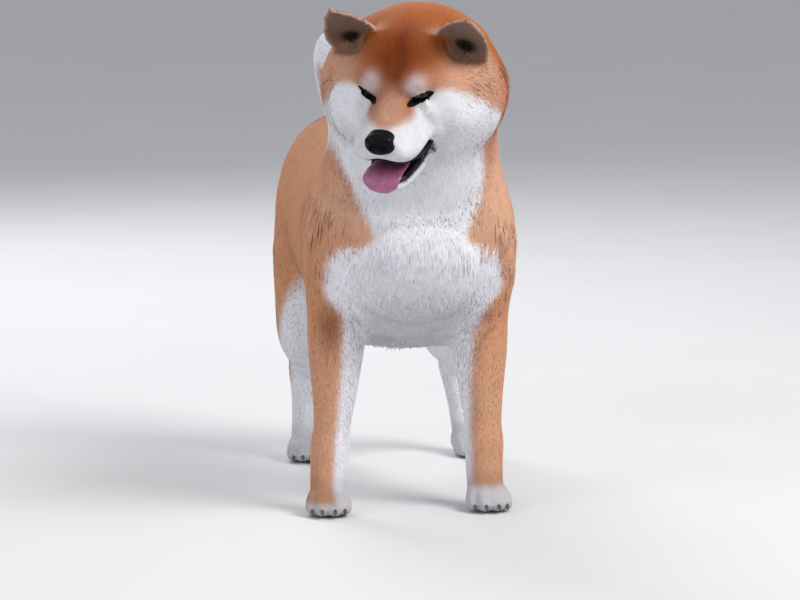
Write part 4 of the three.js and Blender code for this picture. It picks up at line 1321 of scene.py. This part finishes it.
# The section of a lid's rim: [share of the outline, millimetres out from it, share of the way from the ball
# to the face, millimetres forward]
LID_PROFILE = (
    (0.80, 0.0, 0.0, -1.0), (0.86, 0.0, 0.0, 0.4), (0.94, 0.0, 0.25, 0.6), (1.0, 0.1, 0.7, 0.8),
    (1.0, 0.7, 1.0, 0.9), (1.0, 1.3, 1.0, 0.6), (1.0, 2.0, 1.0, 0.0), (1.0, 3.0, 1.0, -0.8),
    (1.0, 4.2, 1.0, -1.8), (1.0, 2.4, 0.9, -2.8), (0.95, 0.4, 0.5, -2.8), (0.84, 0.0, 0.1, -2.2),
)


def lid_shell(skin, sign, around=132):
    """A closed ring round the eye's opening. Its outline is half * cos(a) along the line of the corners and
    reach * sin(a)|sin(a)|^0.25 across it, drawn out to a point beyond the outer corner. Its section starts
    inside the outline on the ball, rolls forward over the lid's wet edge, runs out under the coat and comes
    back behind itself."""
    profile = np.array((*LID_PROFILE, LID_PROFILE[0]))
    profile = catmull_rom(profile, np.linspace(0, 1, 40, endpoint=False))
    share, out, forth, lift = (column[:, None] for column in profile.T)
    (x, z), across, half = eye_line()
    a = np.linspace(0, 2 * np.pi, around, endpoint=False)
    point = smooth(np.cos(a), 0.86, 1.0) * np.clip(out, 0, 1.3) / 1.3
    u = half * np.cos(a) * share + out * np.cos(a) + (EYE_TAIL - half - 2) * point
    opens = np.where(np.sin(a) > 0, EYE_ABOVE, EYE_BELOW)
    v = opens * np.sin(a) * np.abs(np.sin(a)) ** 0.25 * share + out * np.sin(a)
    px, pz = x + u * across[0] - v * across[1], z + u * across[1] + v * across[0]
    ball = ball_front(px, pz)
    ground = np.minimum(face_height(skin, sign * px, pz), ball - BEFORE_BALL)
    for _ in range(4):
        ground = (np.roll(ground, 1, 1) + ground + np.roll(ground, -1, 1)) / 3
    y = ball + (ground - ball) * forth - lift
    return from_head(np.stack([sign * px, y, pz], -1))


def groove(points, path, width, depth):
    """Moves points in by depth * exp(-(distance from the path / width)^2)."""
    track = catmull_rom(np.array(path, float), np.linspace(0, 1, 24))
    gap = np.linalg.norm(points[..., None, :] - track, axis=-1).min(-1)
    return points - grid_normals(points) * (depth * np.exp(-((gap / width) ** 2)))[..., None]


def nose_shell():
    """The nose leather: a loft with a pit and a wing along each nostril and a groove down its middle."""
    points = Loft(NOSE, 2.4, ends=(3.5, 3)).shell(110, 150, 14)
    for _, sign in SIDES:
        path = [(sign * x, y, z) for x, y, z in NOSTRIL]
        points = swell(points, [((sign * 10, -119, -17), (6, 6, 4), 0.9)])
        points = groove(points, path, 2.2, 3.6)
    return from_head(groove(points, [(0, -122, -18), (0, -123, -25), (0, -119, -33)], 1.1, 1.3))


def tongue_shell():
    """The tongue: a flat loft with a groove along the middle of its top."""
    points = Loft(TONGUE, 2.2, ends=(3.5, 3)).shell(120, 72, 10)
    middle = np.array(TONGUE[2:], float)
    away = points[..., 0] - np.interp(points[..., 1], middle[:, 1], middle[:, 0])
    sunk = 1.5 * np.exp(-((away / 2.6) ** 2)) * smooth(grid_normals(points)[..., 2], 0.1, 0.7)
    return from_head(points - np.array((0, 0, 1.0)) * sunk[..., None])


def lip_shells():
    """Dark rims of the lips: round forms that widen at the corners of the mouth."""
    upper, lower = whole_lip(UPPER_LIP), whole_lip(LOWER_LIP)
    away = np.abs(np.linspace(-1, 1, len(upper)))
    above = tube(upper, UPPER_RIM[0] + UPPER_RIM[1] * away**2)
    below = tube(lower, LOWER_RIM[0] + LOWER_RIM[1] * away)
    return [from_head(above), from_head(below)]


def claw_shells():
    """Curved cones from the front of each toe, ending just above the ground."""
    # [back and up from the root, radius] from the claw's tip to its root
    steps = (
        (-TOE_END - CLAW_LENGTH, -CLAW_LENGTH, 0.6),
        (-TOE_END - CLAW_LENGTH / 2, -1.2, 1.8),
        (-1, 0, CLAW_RADIUS),
    )
    shells = []
    for name in STANCE:
        axes, at = foot_axes(name)
        for x, back, size in TOES:
            beside, front, up = toe_end(x, back, size)
            rows = [(beside, front + y, up + z, r, r * 1.1, r * 1.1) for y, z, r in steps]
            shells.append(Loft(rows, 2, ends=(CLAW_DOME, 1)).shell(18, 20) @ axes + at)
    return shells


# Materials
class Value:
    """A number on a socket. Arithmetic on it adds Math nodes."""

    def __init__(self, finish, socket):
        self.finish, self.socket = finish, socket

    def maths(self, operation, a, b=0.0):
        node = self.finish.node("ShaderNodeMath", {"operation": operation}, {0: a, 1: b})
        return Value(self.finish, node.outputs[0])

    def __add__(self, other):
        return self.maths("ADD", self, other)

    def __sub__(self, other):
        return self.maths("SUBTRACT", self, other)

    def __rsub__(self, other):
        return self.maths("SUBTRACT", other, self)

    def __mul__(self, other):
        return self.maths("MULTIPLY", self, other)

    def __truediv__(self, other):
        return self.maths("DIVIDE", self, other)

    def __pow__(self, other):
        return self.maths("POWER", self, other)

    def over(self, low, high):
        """0 where the number is below low, 1 above high, and smooth between."""
        settings = {"interpolation_type": "SMOOTHSTEP"}
        values = {"Value": self, "From Min": low, "From Max": high}
        node = self.finish.node("ShaderNodeMapRange", settings, values)
        return Value(self.finish, node.outputs["Result"])

    __radd__ = __add__
    __rmul__ = __mul__


class Finish:
    """A material and its nodes."""

    def __init__(self, name):
        self.material = bpy.data.materials.new(name)
        self.material.use_nodes = True
        self.tree = self.material.node_tree
        self.tree.nodes.clear()

    def node(self, kind, settings=None, values=None):
        """A node with its settings, then the values or links of its sockets, by name or place."""
        node = self.tree.nodes.new(kind)
        for name, setting in (settings or {}).items():
            setattr(node, name, setting)
        for name, value in (values or {}).items():
            socket = node.inputs[name]
            value = getattr(value, "socket", value)
            if isinstance(value, bpy.types.NodeSocket):
                self.tree.links.new(value, socket)
            else:
                socket.default_value = value
        return node

    def position(self):
        """Where a point is on the object, in metres."""
        return self.node("ShaderNodeTexCoord").outputs["Object"]

    def stretched(self, scale):
        """The same, scaled by a number for each axis."""
        values = {0: self.position(), 1: scale}
        return self.node("ShaderNodeVectorMath", {"operation": "MULTIPLY"}, values).outputs["Vector"]

    def noise(self, scale, detail=3.0, rough=0.55, at=None):
        """Cloudy noise from 0 to 1, with scale cells in a metre."""
        values = {"Vector": at or self.position(), "Scale": scale, "Detail": detail, "Roughness": rough}
        return Value(self, self.node("ShaderNodeTexNoise", None, values).outputs[0])

    def cells(self, scale, feature):
        """Distance in a pattern of cells, with scale cells in a metre."""
        values = {"Vector": self.position(), "Scale": scale}
        node = self.node("ShaderNodeTexVoronoi", {"feature": feature}, values)
        return Value(self, node.outputs["Distance"])

    def attribute(self, name):
        """A value carried by the mesh."""
        return self.node("ShaderNodeAttribute", {"attribute_name": name})

    def mixed(self, share, a, b, blend="MIX"):
        """Colour a where share is 0 and b where it is 1."""
        a, b = (value if isinstance(value, bpy.types.NodeSocket) else (*value, 1) for value in (a, b))
        settings = {"data_type": "RGBA", "blend_type": blend}
        return self.node("ShaderNodeMix", settings, {0: share, 6: a, 7: b}).outputs[2]

    def bump(self, height, distance, strength=1.0):
        """Normals of a height from 0 to 1, with the distance that it stands for in metres."""
        values = {"Height": height, "Distance": distance, "Strength": strength}
        return self.node("ShaderNodeBump", None, values).outputs["Normal"]

    def surface(self, **values):
        """Ends the material in a Principled surface. Names are its sockets', with _ for spaces."""
        values = {name.replace("_", " "): value for name, value in values.items()}
        shader = self.node("ShaderNodeBsdfPrincipled", None, values)
        self.node("ShaderNodeOutputMaterial", None, {"Surface": shader.outputs[0]})
        return self.material


def hair_finish():
    """Hair of the tufts: the mesh's own colour, mottled from tuft to tuft, with a soft sheen."""
    finish = Finish("dog_hair")
    own = finish.attribute("coat_colour").outputs["Color"]
    patches = finish.noise(55, 2)
    darker = finish.mixed((patches - 0.42) * 0.55, own, (0.62, 0.5, 0.42), "MULTIPLY")
    rough = finish.noise(300, 1) * 0.15 + 0.55
    return finish.surface(
        Base_Color=darker, Roughness=rough, Specular_IOR_Level=0.05, Sheen_Weight=0.02, Sheen_Roughness=0.5,
    )


def skin_finish():
    """The coat's ground: its own colour a little darkened, with fine short hair in its bump."""
    finish = Finish("dog_skin")
    own = finish.attribute("coat_colour").outputs["Color"]
    fine = finish.noise(1.0, 3, 0.6, finish.stretched((900, 900, 260)))
    wide = finish.noise(120, 3)
    shade = finish.mixed(fine * 0.2, own, (0.6, 0.5, 0.45), "MULTIPLY")
    normal = finish.bump(fine * 0.7 + wide * 0.3, 0.0009, 0.9)
    rough = 0.62 + fine * 0.2
    return finish.surface(Base_Color=shade, Roughness=rough, Specular_IOR_Level=0.2, Normal=normal)


def leather_finish(name, colour, pale, pebbles, depth, wet):
    """Bare dark skin: pebbles from a pattern of cells, paler on their tops, and a moist gloss."""
    finish = Finish(name)
    pebble = 1 - finish.cells(pebbles, "SMOOTH_F1").over(0.1, 0.75)
    fine = finish.noise(pebbles * 2.2, 3)
    shade = finish.mixed((pebble * 0.5 + fine * 0.5).over(0.35, 0.95), colour, pale)
    normal = finish.bump(pebble * 0.8 + fine * 0.2, depth)
    moist = finish.noise(90, 2).over(0.3, 0.7) * wet
    return finish.surface(
        Base_Color=shade, Roughness=0.42 + fine * 0.2, Coat_Weight=moist, Coat_Roughness=0.18,
        Specular_IOR_Level=0.04, Normal=normal,
    )


def tongue_finish():
    """Wet pink flesh with fine papillae, cloudy between deeper and brighter pink."""
    finish = Finish("dog_tongue")
    deep, bright, dotted = (0.27, 0.06, 0.16), (0.4, 0.11, 0.24), (0.7, 0.32, 0.38)
    dots = 1 - finish.cells(1500, "F1").over(0.1, 0.6)
    cloud = finish.noise(70, 3)
    shade = finish.mixed(cloud.over(0.3, 0.7), deep, bright)
    shade = finish.mixed(dots * 0.35, shade, dotted)
    return finish.surface(
        Base_Color=shade, Roughness=0.3 + cloud * 0.2, Coat_Weight=0.35, Coat_Roughness=0.15,
        Subsurface_Weight=0.08, Subsurface_Radius=(0.004, 0.0015, 0.001), Normal=finish.bump(dots, 0.00025),
    )


def claw_finish():
    """Dark horn with fine streaks along it."""
    finish = Finish("dog_claw")
    dark, pale = (0.035, 0.028, 0.024), (0.14, 0.11, 0.085)
    streaks = finish.noise(1.0, 3, 0.6, finish.stretched((2600, 500, 900)))
    shade = finish.mixed(streaks.over(0.35, 0.7), dark, pale)
    rough = 0.3 + streaks * 0.2
    return finish.surface(Base_Color=shade, Roughness=rough, Normal=finish.bump(streaks, 0.0002))


def eye_finish():
    """A wet, very dark brown eye: pupil, iris with fine rays, its dark edge, and a brown-grey white."""
    finish = Finish("dog_eye")
    away = Value(finish, finish.attribute("from_pupil").outputs["Fac"])
    brown, ray, edge = (0.014, 0.006, 0.003), (0.045, 0.018, 0.007), (0.004, 0.003, 0.003)
    pupil, ball, vein = (0.002, 0.002, 0.002), (0.03, 0.02, 0.017), (0.05, 0.022, 0.018)
    rays = finish.noise(1.0, 2, 0.6, finish.stretched((900, 300, 900)))
    iris = finish.mixed(rays.over(0.3, 0.7), brown, ray)
    iris = finish.mixed(away.over(6.4, 8.0), iris, edge)
    inner = finish.mixed(away.over(3.2, 3.7), pupil, iris)
    white = finish.mixed(finish.noise(400, 3).over(0.45, 0.7), ball, vein)
    shade = finish.mixed(away.over(8.2, 9.2), inner, white)
    return finish.surface(
        Base_Color=shade, Roughness=0.16 + rays * 0.05, Coat_Weight=0.3, Coat_Roughness=0.04,
        Specular_IOR_Level=0.18,
    )


def floor_finish():
    """A pale matt floor, faintly uneven."""
    finish = Finish("studio_floor")
    cloud = finish.noise(2.5, 4)
    shade = finish.mixed(cloud, (0.62, 0.62, 0.63), (0.68, 0.68, 0.69))
    return finish.surface(Base_Color=shade, Roughness=0.8 + cloud * 0.1, Specular_IOR_Level=0.15)


# Settings
def shade_property(name, description, colour):
    """A colour that the user may change."""
    return FloatVectorProperty(
        name=name, description=description, default=colour, size=3, min=0, max=1, subtype="COLOR"
    )


class DogCoatSizes(PropertyGroup):
    """Sizes of the skin and of the coat."""

    grain: FloatProperty(
        name="Grain", description="Size of the skin's quads in millimetres", default=3.05, min=1.5, max=6
    )
    cover: FloatProperty(
        name="Cover", description="Share of the coat's usual number of tufts", default=0.97, min=0.05, max=2,
        subtype="FACTOR",
    )
    length: FloatProperty(
        name="Length", description="Share of the tufts' usual length", default=1.0, min=0.3, max=1.5,
        subtype="FACTOR",
    )


class DogCoatColours(PropertyGroup):
    """Colours of the coat."""

    head_red: shade_property("Head", "Red of the head", (0.33, 0.09, 0.024))
    body_red: shade_property("Body", "Red of the back, flanks and legs", (0.5, 0.235, 0.125))
    # Dark is also laid on as painted shade at the right elbow and along the hollows in front of the ears
    dark_red: shade_property("Dark", "Dark hair of the forehead and back", (0.1, 0.018, 0.004))
    tan: shade_property("Tan", "Tan of the muzzle's bridge", (0.62, 0.38, 0.275))
    cream: shade_property("Cream", "Cream of the cheeks, chest, belly and feet", (0.7, 0.7, 0.745))
    ear_back: shade_property("Ear back", "Back of the ears", (0.3, 0.09, 0.032))
    ear_inside: shade_property("Ear inside", "Inside of the ears", (0.24, 0.165, 0.125))
    ear_rim: shade_property("Ear rim", "Edge of the ears", (0.56, 0.39, 0.29))
    # Lip is also laid on as the painted shadow of each ear's canal
    lip: shade_property("Lip", "Lips and the mouth's lining", (0.004, 0.0035, 0.004))


class DogStageSizes(PropertyGroup):
    """Light and floor."""

    floor: FloatProperty(name="Floor", description="Radius of the floor", default=40, min=2, unit="LENGTH")
    key: FloatProperty(name="Key", description="Power of the main light in watts", default=125, min=0)
    fill: FloatProperty(name="Fill", description="Power of the fill light in watts", default=30, min=0)
    rim: FloatProperty(name="Rim", description="Power of the light from behind in watts", default=50, min=0)
    air: FloatProperty(name="Air", description="Strength of the light from all round", default=0.55, min=0)


MADE = {}


def made_skin():
    """The skin that the skin's operator made."""
    if "skin" not in MADE:
        raise RuntimeError("make the skin first")
    return MADE["skin"]


# Operators
class DOG_OT_skin(Operator):
    """Makes one skin over the body, head, ears, legs, feet and tail"""

    bl_idname = "dog.skin"
    bl_label = "Skin"

    def execute(self, context):
        sizes, colours = context.scene.dog_sizes, context.scene.dog_colours
        skin = Skin(even_mesh(body_shells() + head_shells(), sizes.grain))
        skin.colour = paint(skin, colours)
        mesh = skin.mesh
        mesh.vertices.foreach_set("co", place(skin.points).astype(np.float32).ravel())
        mesh.update()
        # The ground between tufts is painted lighter than they are, since light is scattered inside a coat
        ground = 1 + LIT_GROUND * np.minimum(skin.cover / FULL_COVER, 1) * (1 - skin.ear_inside)
        lit = np.minimum(skin.colour * ground[:, None], BRIGHTEST)
        set_attribute(mesh, "coat_colour", "FLOAT_COLOR", np.pad(lit, ((0, 0), (0, 1)), constant_values=1))
        new_piece("skin", mesh, skin_finish(), FLESH)
        skin.unwrap = unwrapped(mesh)
        MADE["skin"] = skin
        return {"FINISHED"}


def unwrapped(mesh):
    """Unwraps the skin's own shape into flat islands, and gives the place of each loop."""
    piece = next(item for item in bpy.data.objects if item.data == mesh)
    bpy.context.view_layer.objects.active = piece
    piece.select_set(True)
    bpy.ops.object.mode_set(mode="EDIT")
    bpy.ops.mesh.select_all(action="SELECT")
    bpy.ops.uv.smart_project(angle_limit=np.radians(66), island_margin=0.002)
    bpy.ops.object.mode_set(mode="OBJECT")
    piece.select_set(False)
    mesh.uv_layers[0].name = "OFBake"
    return read(mesh.uv_layers[0].data, "uv", 2).astype(float)


class DOG_OT_coat(Operator):
    """Covers the skin with mesh tufts that follow the lie of the coat"""

    bl_idname = "dog.coat"
    bl_label = "Coat"

    def execute(self, context):
        skin = made_skin()
        tufts = comb(skin, context.scene.dog_sizes)
        hair = hair_finish()
        for name, forms in COAT_PIECES.items():
            groups = [skin.names.index(form) for form in forms]
            mine = np.nonzero(np.isin(tufts["group"], groups))[0]
            parts = np.array_split(mine, max(1, int(np.ceil(len(mine) / TUFTS_PER_PIECE))))
            for number, part in enumerate(parts):
                title = f"{name}_{number + 1}"
                mesh = tuft_mesh(title, {key: values[part] for key, values in tufts.items()})
                new_piece(title, mesh, hair)
        return {"FINISHED"}


class DOG_OT_eyes(Operator):
    """Makes the eyes and the rims of their lids"""

    bl_idname = "dog.eyes"
    bl_label = "Eyes and lids"

    def execute(self, context):
        skin, finish = made_skin(), eye_finish()
        for side, sign in SIDES:
            rows, away = eye_shell(sign)
            mesh = mesh_of("eye_" + side, [rows])
            inner = np.repeat(away[1:-1], rows.shape[1])
            set_attribute(mesh, "from_pupil", "FLOAT", np.concatenate([away[:1], inner, away[-1:]]))
            new_piece("eyeball_" + side, mesh, finish, ["eye_" + side])
        rims = [lid_shell(skin, sign) for _, sign in SIDES]
        colour = tuple(context.scene.dog_colours.lip)
        skin_of_lids = leather_finish("dog_lids", colour, (0.015, 0.012, 0.011), 1100, 0.0002, 0.3)
        new_piece("lids", ring_mesh("lids", rims), skin_of_lids)
        return {"FINISHED"}


class DOG_OT_muzzle(Operator):
    """Makes the nose, the lips and the tongue"""

    bl_idname = "dog.muzzle"
    bl_label = "Nose and mouth"

    def execute(self, context):
        colour = tuple(context.scene.dog_colours.lip)
        leather = leather_finish("dog_nose", colour, (0.007, 0.007, 0.011), 700, 0.0004, 0.12)
        new_piece("nose_leather", mesh_of("nose_leather", [nose_shell()]), leather, ["nose"])
        rims = leather_finish("dog_lips", colour, (0.016, 0.013, 0.013), 900, 0.0003, 0.35)
        new_piece("lips", mesh_of("lips", lip_shells()), rims)
        tongue = mesh_of("tongue_flesh", [tongue_shell()])
        new_piece("tongue_flesh", tongue, tongue_finish(), ["tongue"])
        return {"FINISHED"}


class DOG_OT_claws(Operator):
    """Makes the claws"""

    bl_idname = "dog.claws"
    bl_label = "Claws"

    def execute(self, context):
        new_piece("claws", mesh_of("claws", claw_shells()), claw_finish())
        return {"FINISHED"}


# The lights, in metres from the dog's middle on the ground: [name, place, what it is turned to, size, colour]
LIGHTS = (
    ("key", (2.0, -1.9, 2.8), (0, 0, 0.3), 1.9, (1, 0.98, 0.95)),
    ("fill", (-2.8, -1.8, 1.2), (0, 0, 0.3), 2.2, (0.94, 0.97, 1)),
    ("rim", (-0.6, 2.6, 2.2), (0, 0, 0.4), 1.6, (1, 1, 1)),
)
AIR_COLOUR = (0.93, 0.95, 1.0, 1)


def aimed(name, at, target, size, colour, power):
    """A square soft light at a point, turned to another."""
    light = bpy.data.lights.new(name, "AREA")
    light.shape, light.size, light.energy, light.color = "SQUARE", size, power, colour
    lamp = bpy.data.objects.new(name, light)
    bpy.context.collection.objects.link(lamp)
    lamp.location = at
    lamp.rotation_euler = (Vector(target) - Vector(at)).to_track_quat("-Z", "Y").to_euler()


def disc(radius, rings=24, sides=64):
    """Points and faces of a flat disc, with its rings closest at the middle."""
    along = np.linspace(0, 1, rings)[:, None] ** 2 * radius
    a = np.linspace(0, 2 * np.pi, sides, endpoint=False)
    rows = np.stack([along * np.cos(a), along * np.sin(a), 0 * along * a], -1)
    points = np.concatenate([rows[0, :1], rows[1:].reshape(-1, 3)])
    j = np.arange(sides)
    k = (j + 1) % sides
    first = 1 + np.arange(rings - 2)[:, None] * sides
    quads = np.stack([first + j, first + sides + j, first + sides + k, first + k], -1).reshape(-1, 4)
    fan = np.stack([0 * j, j + 1, k + 1], 1)
    return points.tolist(), quads.tolist() + fan.tolist()


def photo_camera():
    """The photograph's camera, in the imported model's frame."""
    lens = bpy.data.cameras.new("photo_camera")
    lens.sensor_width, lens.lens = SENSOR, FOCAL_PIXELS / PHOTO_WIDTH * SENSOR
    lens.clip_end = 200
    camera = bpy.data.objects.new("photo_camera", lens)
    bpy.context.collection.objects.link(camera)
    camera.location = place(np.array(CAMERA_AT))
    camera.rotation_euler = (np.radians(90 - CAMERA_DROP), 0, np.radians(-CAMERA_TURN))
    return camera


class DOG_OT_stage(Operator):
    """Makes the floor, the lights and the camera"""

    bl_idname = "dog.stage"
    bl_label = "Stage"

    def execute(self, context):
        sizes = context.scene.dog_stage
        mesh = bpy.data.meshes.new("studio_floor")
        points, faces = disc(sizes.floor)
        mesh.from_pydata(points, [], faces)
        floor = bpy.data.objects.new("studio_floor", mesh)
        context.collection.objects.link(floor)
        mesh.materials.append(floor_finish())
        for name, at, target, size, colour in LIGHTS:
            aimed(name + "_light", at, target, size, colour, getattr(sizes, name))
        world = context.scene.world or bpy.data.worlds.new("World")
        context.scene.world = world
        world.use_nodes = True
        air = world.node_tree.nodes["Background"]
        air.inputs[0].default_value = AIR_COLOUR
        air.inputs[1].default_value = sizes.air
        context.scene.camera = photo_camera()
        context.scene.view_settings.view_transform = "Standard"
        return {"FINISHED"}


OPERATORS = (DOG_OT_skin, DOG_OT_coat, DOG_OT_eyes, DOG_OT_muzzle, DOG_OT_claws, DOG_OT_stage)


class DOG_PT_panel(Panel):
    """Lists what makes the dog, with its sizes and colours"""

    bl_idname = "DOG_PT_panel"
    bl_label = "Standing shiba inu"
    bl_space_type = "VIEW_3D"
    bl_region_type = "UI"
    bl_category = "Dog"

    def draw(self, context):
        for operator in OPERATORS:
            self.layout.operator(operator.bl_idname)
        for group in (context.scene.dog_sizes, context.scene.dog_colours, context.scene.dog_stage):
            for name in group.bl_rna.properties.keys()[2:]:
                self.layout.prop(group, name)


CLASSES = (DogCoatSizes, DogCoatColours, DogStageSizes, *OPERATORS, DOG_PT_panel)


def register():
    """Adds the dog's settings, operators and panel."""
    for item in CLASSES:
        bpy.utils.register_class(item)
    bpy.types.Scene.dog_sizes = PointerProperty(type=DogCoatSizes)
    bpy.types.Scene.dog_colours = PointerProperty(type=DogCoatColours)
    bpy.types.Scene.dog_stage = PointerProperty(type=DogStageSizes)


def unregister():
    """Takes them away again."""
    del bpy.types.Scene.dog_stage, bpy.types.Scene.dog_colours, bpy.types.Scene.dog_sizes
    for item in reversed(CLASSES):
        bpy.utils.unregister_class(item)


def main():
    """Makes the whole dog and its stage."""
    register()
    for operator in OPERATORS:
        group, name = operator.bl_idname.split(".")
        getattr(getattr(bpy.ops, group), name)()


if __name__ == "__main__":
    main()
